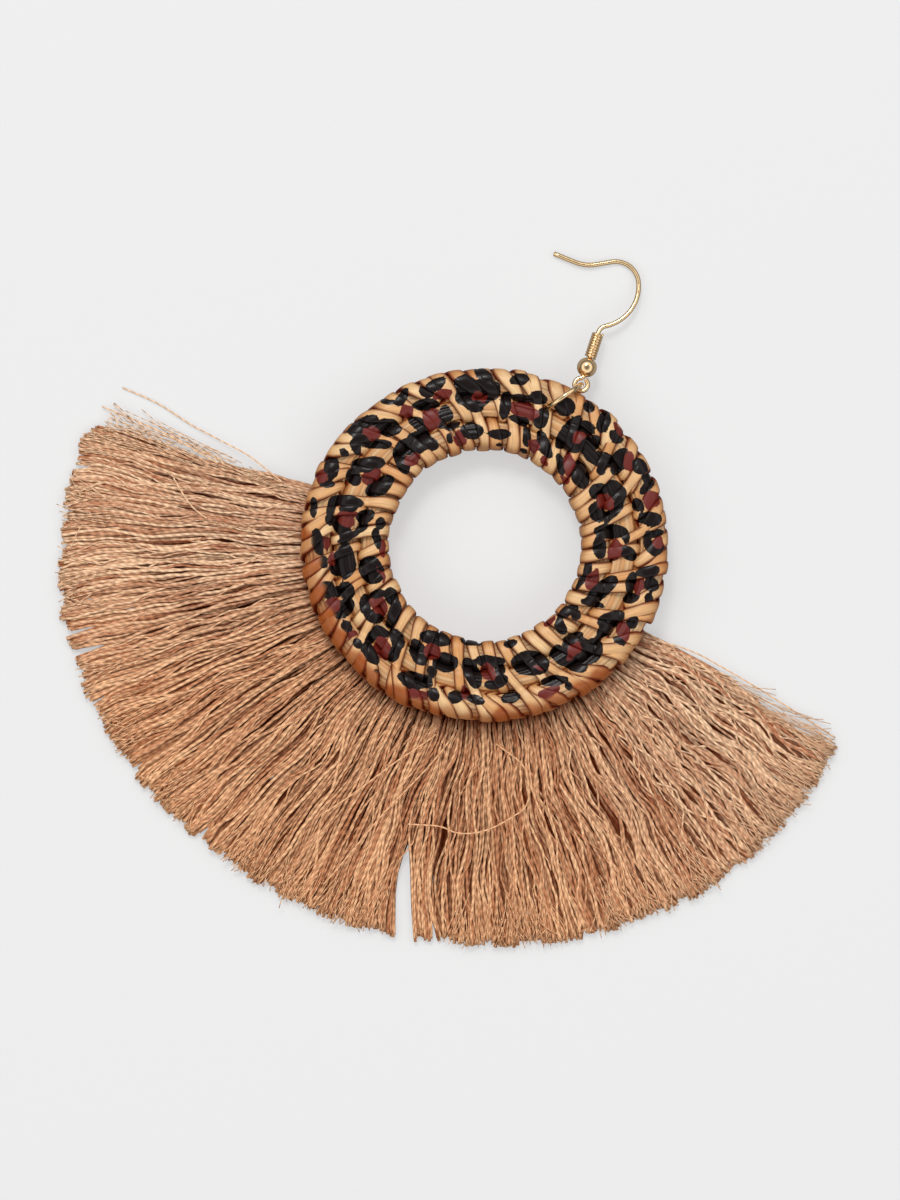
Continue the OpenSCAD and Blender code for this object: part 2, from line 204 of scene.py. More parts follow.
# Loose strands: angle, radius and height of the points that each goes through
FLYAWAYS = [
    [(262.0, 27.0, 1.6), (266.4, 33.6, 1.1), (267.6, 38.6, 0.6), (268.3, 43.2, 0.35),
     (269.4, 48.3, 0.25), (269.5, 53.8, 0.2)],
    [(263.0, 38.0, 1.6), (264.9, 44.2, 1.2), (265.6, 49.6, 0.8), (265.9, 55.4, 0.4)],
    [(251.5, 38.0, 1.7), (253.7, 40.3, 1.9), (258.2, 43.3, 1.8)],
    [(152.8, 27.0, 3.2), (146.5, 30.1, 2.95), (145.8, 33.4, 2.75), (147.0, 35.8, 2.6),
     (150.2, 37.1, 2.5), (156.1, 38.8, 2.45), (161.1, 39.3, 2.4), (165.4, 38.7, 2.4),
     (171.4, 39.3, 2.35)],
    [(164.7, 25.3, 3.3), (176.0, 37.8, 2.6), (181.5, 51.1, 1.75)],
    [(170.5, 26.5, 3.2), (179.3, 32.7, 2.85), (187.4, 42.9, 2.2)],
    [(95.0, 26.5, 1.6), (93.2, 31.4, 1.3), (93.3, 37.4, 0.8), (94.8, 54.4, 0.4)],
]

# The fan's head behind the ring: bundles of four strands, one every HEAD_BUNDLE degrees, that
# run in at the back, turn at HEAD_R and run out under the ring, and the rows of thread on them
HEAD_R = 13.5
HEAD_BUNDLE = 5.03
HEAD_LANES = (-1.5, -0.5, 0.5, 1.5)
HEAD_LOW_Z = 0.62
HEAD_OUT_R = 21.2
HEAD_UNDER_SEAT = 0.28
HEAD_SPREAD = 0.33
TWINING_ROWS = 4
TWINING_R = 14.85
TWINING_WIDTH = 5.3
TWINING_DIP = 0.85

# The metal: the jump ring, the ear wire with its eye, and the ball and the coil on it. The jump
# ring's wire starts at JUMP_JOIN and runs JUMP_TURN degrees round. HOOK_LEAN, HOOK_DIP and
# HOOK_ROLL turn the ear wire from its own plane to how it lies. Its two ends narrow to END_SIZE
# over END_ROUNDING. BALL_U, COIL_U and BEND_U are heights up the stem from the eye's middle, and
# COIL_TURN is how many degrees the coil's wire runs round.
JUMP_CENTRE = np.array([1.546, 22.681, 3.3]) + RING_FOOT
JUMP_R = 2.95
JUMP_WIRE_D = 0.7
JUMP_HEADING = math.radians(30.9)
JUMP_LEVEL = np.array([math.sin(JUMP_HEADING), math.cos(JUMP_HEADING), 0])
JUMP_JOIN = 200
JUMP_TURN = 358.2
WIRE_D = 0.65
EYE_R = 0.9
EYE_CENTRE = JUMP_CENTRE + JUMP_R * JUMP_LEVEL
HOOK_LEAN = math.radians(6)
HOOK_DIP = math.radians(9.53)
HOOK_ROLL = math.radians(1.82)
HOOK_H = 10.25
TAIL_LEN = 3.2
END_ROUNDING = 0.08
END_SIZE = 0.72
BALL_U = 2.506
BALL_R = 1.35
BALL_BORE_R = WIRE_D / 2 + 0.1
BALL_BORE_U = [-1.255, -1.18, 1.18, 1.255]
COIL_U = 3.979
COIL_R = 0.625
COIL_WIRE_D = 0.4
COIL_TURN = 3260
COIL_PITCH = 0.38
BEND_U = 7.6
# Bends of the ear wire above the coil: straight run before it and radius as shares of HOOK_H,
# turn in degrees, to the right if positive
HOOK_BENDS = [
    dict(run=0, turn=60, radius=0.127),
    dict(run=0, turn=-84, radius=0.558),
    dict(run=0, turn=-94, radius=0.303),
    dict(run=0.215, turn=32, radius=0.49),
]

# The stage: the size of the image in pixels, the middle of the view in the frame's x and y, the
# camera's sensor, and in metres half the floor's width and the place of the window
IMAGE_W = 900
IMAGE_H = 1200
VIEW_CENTRE = (-0.9, -2.7)
SENSOR = 36
FLOOR_HALF = 1.5
WINDOW_PLACE = (-0.55, 0.75, 1.3)

# How the print lies: how much its spots are grown and how far their edges wander, how softly
# close ones run together, and how far the black reaches over the wine's edge
INK_GROWTH = 0.14
INK_WANDER = 0.06
WINE_GROWTH = 0.25
WINE_WANDER = 0.16
SPOT_BLEND = 0.09
INK_OVERLAP = 0.22

# The spotted print, charted spot by spot. Each spot is an ellipse: its place as degrees round the
# ring and share of the way from the hole to the rim, its length and width in millimetres, and
# the turn of its length from the ring's direction towards the rim, in degrees.
BLACK_SPOTS = [
    (0.0, 0.48, 2.8, 1.9, 90), (5.8, 0.73, 2.8, 2.6, 0), (12.9, 0.88, 1.7, 1.5, 0),
    (12.6, 0.50, 5.2, 2.1, 90), (17.3, 0.69, 2.1, 1.3, 0), (22.5, 0.56, 3.2, 1.8, 90),
    (6.6, 0.22, 3.9, 1.6, -37), (19.2, 0.15, 3.0, 1.2, -35), (29.2, 0.24, 4.0, 2.3, -15),
    (20.0, 0.86, 3.0, 1.8, -60), (26.5, 0.85, 2.1, 1.6, 10), (34.0, 0.74, 3.2, 2.3, -50),
    (38.7, 0.88, 2.4, 1.9, 30), (43.0, 0.90, 1.4, 0.8, 70), (29.6, 0.55, 4.5, 1.9, 40),
    (36.4, 0.63, 1.6, 1.1, 80), (33.2, 0.47, 1.2, 1.1, 0), (43.5, 0.52, 3.3, 2.1, 20),
    (40.4, 0.32, 2.4, 2.0, 90), (51.0, 0.42, 4.0, 1.3, -55), (49.6, 0.22, 2.7, 1.9, 10),
    (46.5, 0.87, 2.6, 1.3, -65), (51.3, 0.71, 1.7, 1.5, 0), (57.0, 0.81, 3.1, 1.9, 80),
    (62.0, 0.86, 2.4, 1.1, 90), (67.4, 0.85, 2.2, 1.7, 90), (64.6, 0.76, 2.7, 1.0, 0),
    (59.8, 0.34, 4.6, 2.0, 82), (67.6, 0.20, 2.8, 1.8, 5), (69.4, 0.54, 2.4, 1.7, 60),
    (62.2, 0.50, 2.2, 0.9, 0), (75.3, 0.79, 3.2, 1.4, -70), (79.4, 0.86, 2.0, 1.9, 90),
    (80.6, 0.62, 2.9, 1.3, 0), (86.0, 0.68, 2.3, 1.2, -60), (84.2, 0.87, 1.2, 1.0, 0),
    (86.2, 0.33, 5.0, 2.1, -30), (94.5, 0.28, 3.4, 0.9, -75), (78.2, 0.10, 1.6, 0.9, 0),
    (86.0, 0.07, 3.0, 0.8, -15), (93.5, 0.80, 1.9, 1.4, 0), (96.6, 0.57, 3.7, 2.1, -40),
    (101.8, 0.58, 2.3, 1.4, -20), (101.8, 0.79, 1.8, 1.0, 90), (103.8, 0.21, 1.2, 1.1, 0),
    (105.4, 0.10, 3.1, 1.3, -20), (113.2, 0.17, 2.3, 1.5, 80), (110.5, 0.62, 3.5, 2.7, 30),
    (120.3, 0.53, 5.5, 1.9, -60), (113.0, 0.36, 3.1, 1.2, -15), (121.6, 0.37, 2.0, 1.8, 0),
    (125.4, 0.78, 1.1, 0.8, 70), (129.0, 0.64, 3.9, 1.4, -20), (135.2, 0.34, 5.1, 3.3, -25),
    (141.5, 0.05, 2.0, 1.0, 0), (146.6, 0.67, 2.7, 1.5, 10), (151.3, 0.47, 3.3, 1.5, 12),
    (162.0, 0.36, 4.4, 2.1, -60), (153.6, 0.22, 4.0, 1.6, -5), (149.2, 0.33, 1.6, 1.4, 90),
    (164.5, 0.01, 3.0, 0.8, 0), (159.6, 0.67, 2.5, 1.1, -15), (167.3, 0.67, 1.8, 1.5, 0),
    (175.0, 0.71, 1.9, 1.4, -40), (183.6, 0.63, 5.0, 1.8, 15), (184.0, 0.71, 2.7, 1.3, 0),
    (174.8, 0.31, 3.4, 2.6, 10), (179.0, 0.47, 1.9, 1.1, -50), (187.8, 0.34, 3.7, 2.1, -35),
    (184.0, 0.10, 4.2, 2.0, 12), (196.0, 0.50, 2.9, 1.3, -70), (199.5, 0.36, 2.8, 1.7, -20),
    (206.2, 0.45, 2.3, 1.6, 20), (202.4, 0.71, 3.3, 1.7, -10), (207.0, 0.58, 2.1, 1.2, -70),
    (208.4, 0.74, 1.4, 1.1, 0), (215.3, 0.74, 1.8, 1.3, 0), (195.5, 0.82, 1.6, 0.6, -20),
    (208.6, 0.20, 3.6, 1.5, -60), (213.2, 0.41, 2.5, 1.6, 40), (219.8, 0.42, 2.6, 1.5, -30),
    (217.0, 0.11, 2.4, 1.8, 0), (221.4, 0.24, 1.9, 1.0, 80), (221.8, 0.67, 3.3, 2.1, -75),
    (230.0, 0.77, 2.5, 2.0, 20), (227.8, 0.56, 2.3, 1.9, 0), (228.4, 0.66, 1.4, 1.2, 90),
    (233.5, 0.22, 3.9, 3.1, 20), (240.0, 0.76, 1.5, 1.2, 0), (236.4, 0.60, 2.5, 1.4, 70),
    (234.6, 0.48, 2.4, 0.9, -55), (241.2, 0.50, 3.7, 2.1, -5), (247.3, 0.82, 3.6, 1.5, 10),
    (258.7, 0.91, 2.8, 0.9, 12), (249.0, 0.46, 3.0, 0.8, -65), (252.0, 0.53, 2.8, 1.7, 60),
    (255.0, 0.68, 1.7, 1.4, 90), (260.0, 0.71, 2.7, 1.2, 0), (263.8, 0.54, 4.4, 1.5, -80),
    (260.6, 0.52, 2.4, 0.9, -75), (259.4, 0.30, 2.5, 1.8, -60), (253.6, 0.32, 2.2, 0.9, -50),
    (249.5, 0.13, 2.9, 1.1, 20), (257.5, 0.11, 1.5, 1.3, 0), (272.7, 0.86, 3.1, 1.9, 25),
    (267.0, 0.83, 2.0, 0.8, -70), (273.2, 0.59, 2.5, 1.8, 60), (275.3, 0.27, 4.2, 2.2, -30),
    (280.6, 0.52, 4.6, 2.0, -50), (279.3, 0.83, 1.3, 0.9, 80), (283.3, 0.76, 2.2, 1.2, 60),
    (290.2, 0.86, 4.5, 1.9, -15), (296.4, 0.65, 3.9, 2.2, -55), (289.6, 0.57, 3.4, 1.2, -45),
    (286.5, 0.75, 2.6, 1.3, -70), (290.5, 0.22, 3.1, 1.7, 70), (296.8, 0.35, 3.7, 1.8, 0),
    (299.6, 0.25, 3.2, 1.4, -30), (305.3, 0.28, 4.4, 2.2, -55), (302.0, 0.88, 2.2, 0.8, -40),
    (306.9, 0.84, 2.7, 1.2, 30), (307.5, 0.47, 3.4, 1.4, -55), (313.0, 0.64, 3.7, 1.4, -20),
    (315.3, 0.36, 1.6, 0.9, -40), (319.3, 0.46, 2.3, 1.9, 80), (314.8, 0.77, 2.0, 1.2, -50),
    (319.0, 0.82, 2.7, 1.5, 10), (317.8, 0.17, 1.4, 0.9, 90), (321.0, 0.30, 1.9, 1.0, 20),
    (329.3, 0.20, 3.1, 2.2, -5), (329.0, 0.74, 3.0, 2.8, 0), (330.6, 0.52, 3.3, 2.1, -35),
    (327.0, 0.62, 2.0, 1.8, 90), (335.4, 0.85, 3.0, 1.4, -50), (339.0, 0.66, 2.7, 2.0, 70),
    (343.3, 0.17, 3.3, 1.2, 5), (343.7, 0.05, 0.8, 0.5, 0), (347.8, 0.84, 2.7, 1.6, 20),
    (344.3, 0.51, 3.9, 1.5, 90), (351.5, 0.38, 2.7, 1.3, 0), (356.0, 0.69, 2.3, 1.8, 0),
    (350.4, 0.63, 2.9, 1.1, 5), (357.0, 0.22, 2.7, 1.2, -70), (358.0, 0.05, 1.2, 0.7, 0),
    (115.5, 0.54, 4.6, 4.0, 0), (16.2, 0.49, 3.6, 3.8, 0), (333.2, 0.63, 3.6, 3.6, 0),
    (239.5, 0.53, 3.2, 3.2, 0),
]
WINE_SPOTS = [
    (17.2, 0.54, 2.4, 1.6, 90), (2.6, 0.17, 2.4, 1.3, -20), (22.3, 0.22, 3.2, 1.4, -35),
    (11.0, 0.06, 1.2, 0.7, 0), (26.5, 0.06, 1.3, 0.6, 0), (25.4, 0.92, 2.0, 0.8, 0),
    (35.5, 0.80, 2.6, 1.6, -30), (46.3, 0.36, 2.4, 2.3, 0), (50.8, 0.87, 2.3, 2.2, 0),
    (68.0, 0.38, 2.6, 1.7, 0), (65.4, 0.88, 1.4, 1.4, 0), (81.5, 0.72, 3.2, 1.1, 0),
    (84.0, 0.18, 3.0, 1.5, -10), (97.6, 0.75, 3.0, 1.7, 50), (115.4, 0.03, 1.8, 0.7, 0),
    (116.0, 0.47, 3.0, 1.8, 15), (132.2, 0.74, 2.9, 1.1, 5), (133.0, 0.43, 2.0, 0.6, -20),
    (154.4, 0.35, 2.5, 2.1, 90), (163.5, 0.62, 1.5, 1.2, 90), (179.5, 0.77, 2.5, 1.4, 0),
    (182.2, 0.24, 2.6, 2.2, 0), (201.0, 0.56, 3.0, 2.2, -40), (212.0, 0.74, 1.8, 0.9, 90),
    (216.5, 0.29, 2.6, 2.3, 0), (224.9, 0.76, 2.3, 1.9, 90), (231.0, 0.13, 2.2, 0.7, 10),
    (240.3, 0.66, 2.0, 1.3, 0), (246.9, 0.71, 1.6, 1.0, 0), (256.4, 0.51, 2.8, 2.3, 90),
    (243.5, 0.06, 2.2, 0.7, 0), (269.0, 0.93, 2.1, 1.1, 0), (277.0, 0.41, 3.0, 1.8, -30),
    (291.0, 0.73, 2.4, 2.2, 90), (296.0, 0.17, 2.8, 1.4, -15), (305.3, 0.67, 1.9, 1.6, 0),
    (313.3, 0.46, 3.3, 2.3, 70), (320.3, 0.69, 2.5, 1.4, 5), (322.8, 0.15, 2.1, 1.7, 90),
    (333.6, 0.60, 2.4, 1.8, 15), (353.0, 0.50, 4.2, 2.2, 0),
]


def linear(code):
    """An sRGB hex colour such as "#c6946a" as a linear RGBA."""
    parts = [int(code[i:i + 2], 16) / 255 for i in (1, 3, 5)]
    return [p / 12.92 if p <= 0.04045 else ((p + 0.055) / 1.055) ** 2.4 for p in parts] + [1.0]


def smoothstep(low, high, values):
    """A soft step from 0 at low to 1 at high. It falls if low is the greater."""
    share = np.clip((values - low) / (high - low), 0, 1)
    return share * share * (3 - 2 * share)


def unit(vectors):
    """The vectors at a length of one."""
    return vectors / np.maximum(np.linalg.norm(vectors, axis=-1, keepdims=True), 1e-9)


def turned(a, b, turn):
    """The pair a, b turned by an angle in radians."""
    c, s = np.cos(turn), np.sin(turn)
    return a * c - b * s, a * s + b * c


def clock(angle, radius):
    """The x and y of a place round the ring."""
    turn = np.radians(angle)
    return radius * np.sin(turn), radius * np.cos(turn)


def over_floor(angle, radius, height):
    """Points round the ring's middle, at a height over the floor."""
    x, y = clock(angle, radius)
    return np.stack([x, y, height], -1) + RING_FOOT


def ring_to_world(points):
    """Points from the ring's own plane to the place where the ring lies."""
    x, y, z = points[..., 0], points[..., 1], points[..., 2]
    radius = np.hypot(x, y)
    along = (x * math.sin(OVAL_TURN) + y * math.cos(OVAL_TURN)) / np.maximum(radius, 1)
    inward = OVAL_DEPTH * along ** 2 * smoothstep(OVAL_START, RIM_R, radius)
    scale = 1 - inward / np.maximum(radius, 1)
    y, z = turned(y * scale, z, -RING_TILT)
    return np.stack([x * scale, y, z], -1) + RING_CENTRE


class Waves:
    """Smooth random values over a plane, made of a few sine waves."""

    def __init__(self, rng, wavelength, count=7):
        turn = rng.uniform(0, 2 * math.pi, count)
        rate = 2 * math.pi / (wavelength * rng.uniform(0.6, 1.6, count))
        self.kx, self.ky = rate * np.cos(turn), rate * np.sin(turn)
        self.phase = rng.uniform(0, 2 * math.pi, count)
        self.scale = math.sqrt(2 / count)

    def at(self, x, y):
        """The values at places x, y, mostly between -2 and 2."""
        total = np.zeros(np.broadcast(x, y).shape)
        for kx, ky, phase in zip(self.kx, self.ky, self.phase):
            total = total + np.sin(kx * x + ky * y + phase)
        return total * self.scale


class Shape:
    """Tubes joined into one mesh, with UVs in turns and millimetres and values at the points."""

    def __init__(self):
        self.points, self.faces, self.uvs, self.values = [], [], [], {}
        self.total = 0

    def skin(self, points, along, closed=False, turns=1.0, **values):
        """Covers tubes given as a (lines, steps, corners, 3) grid of points. along is the length
        run at each step, with one more for tubes that close on themselves, turns is how far u
        goes round a tube, and values are arrays that fit (lines, steps, corners)."""
        lines, steps, corners = points.shape[:3]
        index = np.arange(lines * steps * corners).reshape(lines, steps, corners) + self.total
        near = index if closed else index[:, :-1]
        far = np.roll(index, -1, 1) if closed else index[:, 1:]
        quads = np.stack([near, np.roll(near, -1, 2), np.roll(far, -1, 2), far], -1)
        u = np.arange(corners + 1) / corners * turns
        uv = np.zeros(quads.shape + (2,))
        uv[..., 0, 0] = uv[..., 3, 0] = u[:-1]
        uv[..., 1, 0] = uv[..., 2, 0] = u[1:]
        uv[..., 0, 1] = uv[..., 1, 1] = along[:, :-1, None]
        uv[..., 2, 1] = uv[..., 3, 1] = along[:, 1:, None]
        self.points.append(points.reshape(-1, 3))
        self.total += lines * steps * corners
        self.faces.append(quads.reshape(-1, 4))
        self.uvs.append(uv.reshape(-1, 2))
        if not closed:
            for cap, end in ((index[:, 0, ::-1], along[:, 0]), (index[:, -1], along[:, -1])):
                cap_uv = np.zeros(cap.shape + (2,))
                cap_uv[..., 1] = end[:, None]
                self.faces.append(cap)
                self.uvs.append(cap_uv.reshape(-1, 2))
        for name, array in values.items():
            full = np.broadcast_to(array, (lines, steps, corners)).reshape(-1)
            self.values.setdefault(name, []).append(full)

    def sweep(self, centres, across, up, section, closed=False, size=1.0, **values):
        """Sweeps a (corners, 2) section along many lines at once. centres, across and up are
        (lines, steps, 3) arrays, and size scales the section at each step."""
        scale = np.broadcast_to(size, centres.shape[:2])[..., None, None]
        points = (centres[:, :, None] + across[:, :, None] * section[:, 0:1] * scale
                  + up[:, :, None] * section[:, 1:2] * scale)
        following = np.roll(centres, -1, 1) if closed else centres[:, 1:]
        runs = np.linalg.norm(following - centres[:, :following.shape[1]], axis=-1)
        along = np.concatenate([np.zeros((len(centres), 1)), np.cumsum(runs, 1)], 1)
        self.skin(points, along, closed, **values)

    def piece(self, name, material, stands_for=()):
        """Makes the mesh object, in metres, and ties it to the frame."""
        if not self.points:
            raise RuntimeError(f"{name} has no surface")
        points = np.concatenate(self.points) * MM
        sizes = np.concatenate([np.full(len(f), f.shape[1]) for f in self.faces])
        starts = np.cumsum(sizes) - sizes
        corners = np.concatenate([f.ravel() for f in self.faces])
        mesh = bpy.data.meshes.new(name)
        mesh.vertices.add(len(points))
        mesh.vertices.foreach_set("co", points.astype(np.float32).ravel())
        mesh.loops.add(len(corners))
        mesh.loops.foreach_set("vertex_index", corners.astype(np.int32))
        mesh.polygons.add(len(sizes))
        mesh.polygons.foreach_set("loop_start", starts.astype(np.int32))
        layer = mesh.uv_layers.new(name="UVMap")
        layer.data.foreach_set("uv", np.concatenate(self.uvs).astype(np.float32).ravel())
        for key, arrays in self.values.items():
            attribute = mesh.attributes.new(key, "FLOAT", "POINT")
            attribute.data.foreach_set("value", np.concatenate(arrays).astype(np.float32))
        mesh.update(calc_edges=True)
        if mesh.validate():
            raise RuntimeError(f"{name} has faulty faces")
        mesh.shade_smooth()
        mesh.materials.append(material)
        obj = bpy.data.objects.new(name, mesh)
        bpy.context.scene.collection.objects.link(obj)
        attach(obj, "root")
        if stands_for:
            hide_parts(*stands_for)


def round_section(corners, radius, turn=0.0):
    """A round section, turned by an angle in radians."""
    at = np.arange(corners) / corners * 2 * math.pi + turn
    return np.stack([np.cos(at), np.sin(at)], 1) * radius


def flat_section(corners, width, thickness, power=3):
    """A flat strip's section with soft edges."""
    at = (np.arange(corners) + 0.5) / corners * 2 * math.pi
    x, y = (np.sign(v) * np.abs(v) ** (2 / power) for v in (np.cos(at), np.sin(at)))
    return np.stack([x * width / 2, y * thickness / 2], 1)


def frames_along(centres):
    """Directions across and up for lines that never run straight up."""
    ahead = unit(np.gradient(centres, axis=-2))
    across = unit(np.cross(ahead, UP))
    return across, np.cross(across, ahead)


# Print

def spot_depth(x, y, spots, growth):
    """How far, in millimetres, each place seen from above lies inside the spots, which run
    together where they nearly meet. growth is added to each spot's length and width."""
    total = np.zeros(x.shape)
    for angle, share, length, width, turn in spots:
        cx, cy = clock(angle, HOLE_R + share * (RIM_R - HOLE_R))
        ax, ay = clock(angle + 90 - turn, 1)
        dx, dy = x - cx, y - cy
        half_l, half_w = (length + growth) / 2, (width + growth) / 2
        u = (dx * ax + dy * ay) / half_l
        v = (dx * ay - dy * ax) / half_w
        away = np.hypot(u, v)
        slope = np.hypot(u / half_l, v / half_w) + 1e-6
        total += np.exp(np.clip(away * (1 - away) / slope, -6, 4) / SPOT_BLEND)
    return SPOT_BLEND * np.log(total + 1e-12)


def print_values(points, normals_up):
    """Values of the print at points of the ring, in world millimetres."""
    rng = np.random.default_rng(SEED + 5)
    ink_x, ink_y, rough = Waves(rng, 2.6), Waves(rng, 2.6), Waves(rng, 1.5)
    x, y = points[..., 0] - RING_CENTRE[0], points[..., 1] - RING_CENTRE[1]
    wine_x = x + WINE_WANDER * rough.at(x, y)
    wine_y = y + WINE_WANDER * rough.at(y + 7, x)
    wine = spot_depth(wine_x, wine_y, WINE_SPOTS, WINE_GROWTH)
    x, y = x + INK_WANDER * ink_x.at(x, y), y + INK_WANDER * ink_y.at(x, y)
    # The black leaves the wine centres open
    ink = np.minimum(spot_depth(x, y, BLACK_SPOTS, INK_GROWTH), INK_OVERLAP - wine)
    # At the bottom of the ring the print ends short of the rim
    share = (np.hypot(x, y) - HOLE_R) / (RIM_R - HOLE_R)
    angle = np.degrees(np.arctan2(x, y)) % 360
    off_bottom = np.abs(angle - 180)
    edge = 1.1 - 0.27 * smoothstep(78, 62, off_bottom) + 0.03 * np.sin(angle * 0.7)
    within = smoothstep(edge + 0.03, edge - 0.03, share)
    # The rim is tinted a darker orange-brown, most of all below, and not on the back
    rim_tint = smoothstep(edge - 0.08, edge + 0.01, share) * smoothstep(-0.7, -0.3, normals_up)
    rim_tint = rim_tint * (0.5 + 0.5 * smoothstep(95, 70, off_bottom))
    # front gives the paler colours to cane that faces up inside the print; the darker colours of the
    # sides stand partly for unprinted cane and partly for painted shade
    return dict(ink=ink, wine=wine, rim_tint=rim_tint,
                printed=smoothstep(-0.35, 0.0, normals_up) * within,
                front=smoothstep(0.3, 0.85, normals_up) * within)


# Cane ring

def rounded_loop(low, high, half_t, corner, steps):
    """A closed outline round the hoops in the (radius, height) plane, from the inner side over
    the front: points and outward directions."""
    corner = min(corner, (high - low) / 2 - 0.02, half_t - 0.02)
    straights = [2 * (half_t - corner), high - low - 2 * corner]
    bend = math.pi / 2 * corner
    at = np.arange(steps) / steps * (2 * sum(straights) + 4 * bend)
    inner, outer, top = low + corner, high - corner, half_t - corner
    corners = np.array([(inner, top), (outer, top), (outer, -top), (inner, -top)])
    sides = np.array([(-1, 0), (0, 1), (1, 0), (0, -1)])
    points, outward = np.zeros((steps, 2)), np.zeros((steps, 2))
    begun = 0
    for k in range(4):
        side, following = sides[k], sides[(k + 1) % 4]
        before, centre = corners[k - 1], corners[k]
        straight = straights[k % 2]
        inside = (at >= begun) & (at < begun + straight)
        share = (at[inside] - begun)[:, None] / straight
        points[inside] = before + (centre - before) * share + side * corner
        outward[inside] = side
        begun += straight
        inside = (at >= begun) & (at < begun + bend)
        turn = (at[inside] - begun)[:, None] / corner
        direction = side * np.cos(turn) + following * np.sin(turn)
        points[inside] = centre + direction * corner
        outward[inside] = direction
        begun += bend
    return points, outward


def hoop_piece(key, settings, material, rng):
    """One hoop, as thin canes that lie side by side round it."""
    low, high = HOOPS[key]["low"] - CANE_SWELL, HOOPS[key]["high"] + CANE_SWELL
    around, steps = HOOP_STEPS
    girth = 2 * (high - low + HOOP_T)
    canes = round(girth / settings.cane_width * MM)
    loop, outward = rounded_loop(low, high, HOOP_T / 2 + CANE_RISE, CANE_CORNER, steps)
    place = np.arange(steps) / steps * canes
    groove = (2 * (place % 1) - 1) ** 2
    angle = np.arange(around)[:, None] / around * 360
    lift = CANE_UNEVEN * Waves(rng, 25).at(angle * 0.35, np.arange(steps) * 3.0)
    depth = lift - 0.02 - CANE_GROOVE * groove ** 1.5
    x, y = clock(angle, loop[:, 0] + outward[:, 0] * depth)
    points = ring_to_world(np.stack([x, y, loop[:, 1] + outward[:, 1] * depth], -1))
    values = print_values(points, np.broadcast_to(outward[:, 1], (around, steps)))
    tones = rng.uniform(0, 1, canes)
    along = np.arange(around + 1) * (math.pi * (low + high) / around)
    shape = Shape()
    # Painted shade, with some red-brown stain, darkens the hoops, most of all in the grooves between
    # the canes
    shape.skin(points[None], along[None], closed=True, turns=girth / STRIP_ROUND,
               crease=groove ** 3 * 0.5 + 0.1, tone=tones[place.astype(int)], **values)
    shape.piece(f"{key}_hoop_canes", material, [f"{key}_hoop"])


def strip_slant(slants, share, front):
    """Degrees by which strips are off their angle, for the share of the way from their inner to
    their outer side, and for how much they lie on the front, from 0 to 1."""
    front_low, front_high, back_high, back_low = slants
    on_front = front_low + (front_high - front_low) * share
    on_back = back_low + (back_high - back_low) * share
    return front * on_front + (1 - front) * on_back


def strip_lines(rng, row, angles, thickness):
    """Where the strips of one round run: the centres of their sections, the directions across
    and up, and their width as a share of the plain one."""
    low, high = row["low"], row["high"]
    reach = thickness / 2 + STRIP_CLEAR + row["lift"]
    half_t = HOOP_T / 2 + reach
    steps = round(2 * (high - low + 2 * RING_HALF_T) / STRIP_STEP)
    loop, outward = rounded_loop(low - reach, high + reach, half_t, STRIP_CORNER, steps)
    radius, height = loop.T
    out_r, out_z = outward.T
    front = smoothstep(-half_t * 0.8, half_t * 0.8, height)
    share = np.clip((radius - low) / (high - low), 0, 1)
    number, step = np.arange(len(angles))[:, None], np.arange(steps)
    angle = angles[:, None] + rng.normal(0, STRIP_STRAY, number.shape)
    angle = angle + strip_slant(row["slants"], share, front)
    bend = Waves(rng, 9)
    angle = angle + STRIP_SWAY * front * bend.at(number * 31.0, step * 0.3)
    bump = STRIP_BUMP * bend.at(number * 17.0, step * 0.3)
    for seam in HOOP_SEAMS:
        if low + 1 < seam < high - 1:
            sag = np.exp(-((radius - seam) / STRIP_SAG_WIDTH) ** 2)
            bump = bump - STRIP_SAG * sag * np.abs(out_z)
    x, y = clock(angle, radius + out_r * bump)
    centres = np.stack([x, y, height + out_z * bump], -1)
    x, y = clock(angle, out_r)
    up = np.stack([x, y, np.broadcast_to(out_z, x.shape)], -1)
    ahead = unit(np.roll(centres, -1, 1) - np.roll(centres, 1, 1))
    across = unit(np.cross(ahead, up))
    roll = np.radians(rng.normal(0, STRIP_ROLL, (len(angles), 1, 1)))
    across, up = turned(across, np.cross(across, ahead), -roll)
    hole_swell, rim_swell = row["swell"]
    size = 1 + rng.normal(0, STRIP_SPREAD, number.shape)
    size = size + 0.04 * bend.at(number * 11.0, step * 0.5)
    size = size * (1 + hole_swell * smoothstep(*HOLE_SWELL_RUN, radius)
                   + rim_swell * smoothstep(*RIM_SWELL_RUN, radius))
    origin = ring_to_world(np.zeros(3))
    return ring_to_world(centres), ring_to_world(across) - origin, ring_to_world(up) - origin, size


def bound_strips(shape, rng, row, angles, width, thickness):
    """One round of the strips that bind one or two hoops, of a row of BINDINGS."""
    centres, across, up, size = strip_lines(rng, row, angles, thickness)
    section = flat_section(14, width, thickness)
    side = np.abs(section[:, 0]) / (width / 2)
    # Painted shade, with some red-brown stain, on each strip's underside and along its edges
    crease = np.where(section[:, 1] < 0, 1.0, smoothstep(0.62, 0.98, side))
    # The print is worked out for strips of plain width
    points = (centres[:, :, None] + across[:, :, None] * section[:, 0:1]
              + up[:, :, None] * section[:, 1:2])
    values = print_values(points, up[:, :, None, 2] * (1 - 0.5 * side))
    shape.sweep(centres, across, up, section, closed=True, size=size, crease=crease,
                tone=rng.uniform(0, 1, (len(angles), 1, 1)), **values)


def binding_pieces(settings, material, rng):
    """The strips that bind the hoops, in two crossing rows, and the short wraps at the rims."""
    even = np.arange(STRIP_COUNT) * STRIP_PITCH
    for row in BINDINGS:
        shape = Shape()
        for phase in row["phases"]:
            width = getattr(settings, row["width"]) / MM
            bound_strips(shape, rng, row, phase + even, width, settings.strip_thickness / MM)
        shape.piece(row["name"], material, row["stands_for"])


# Yarn

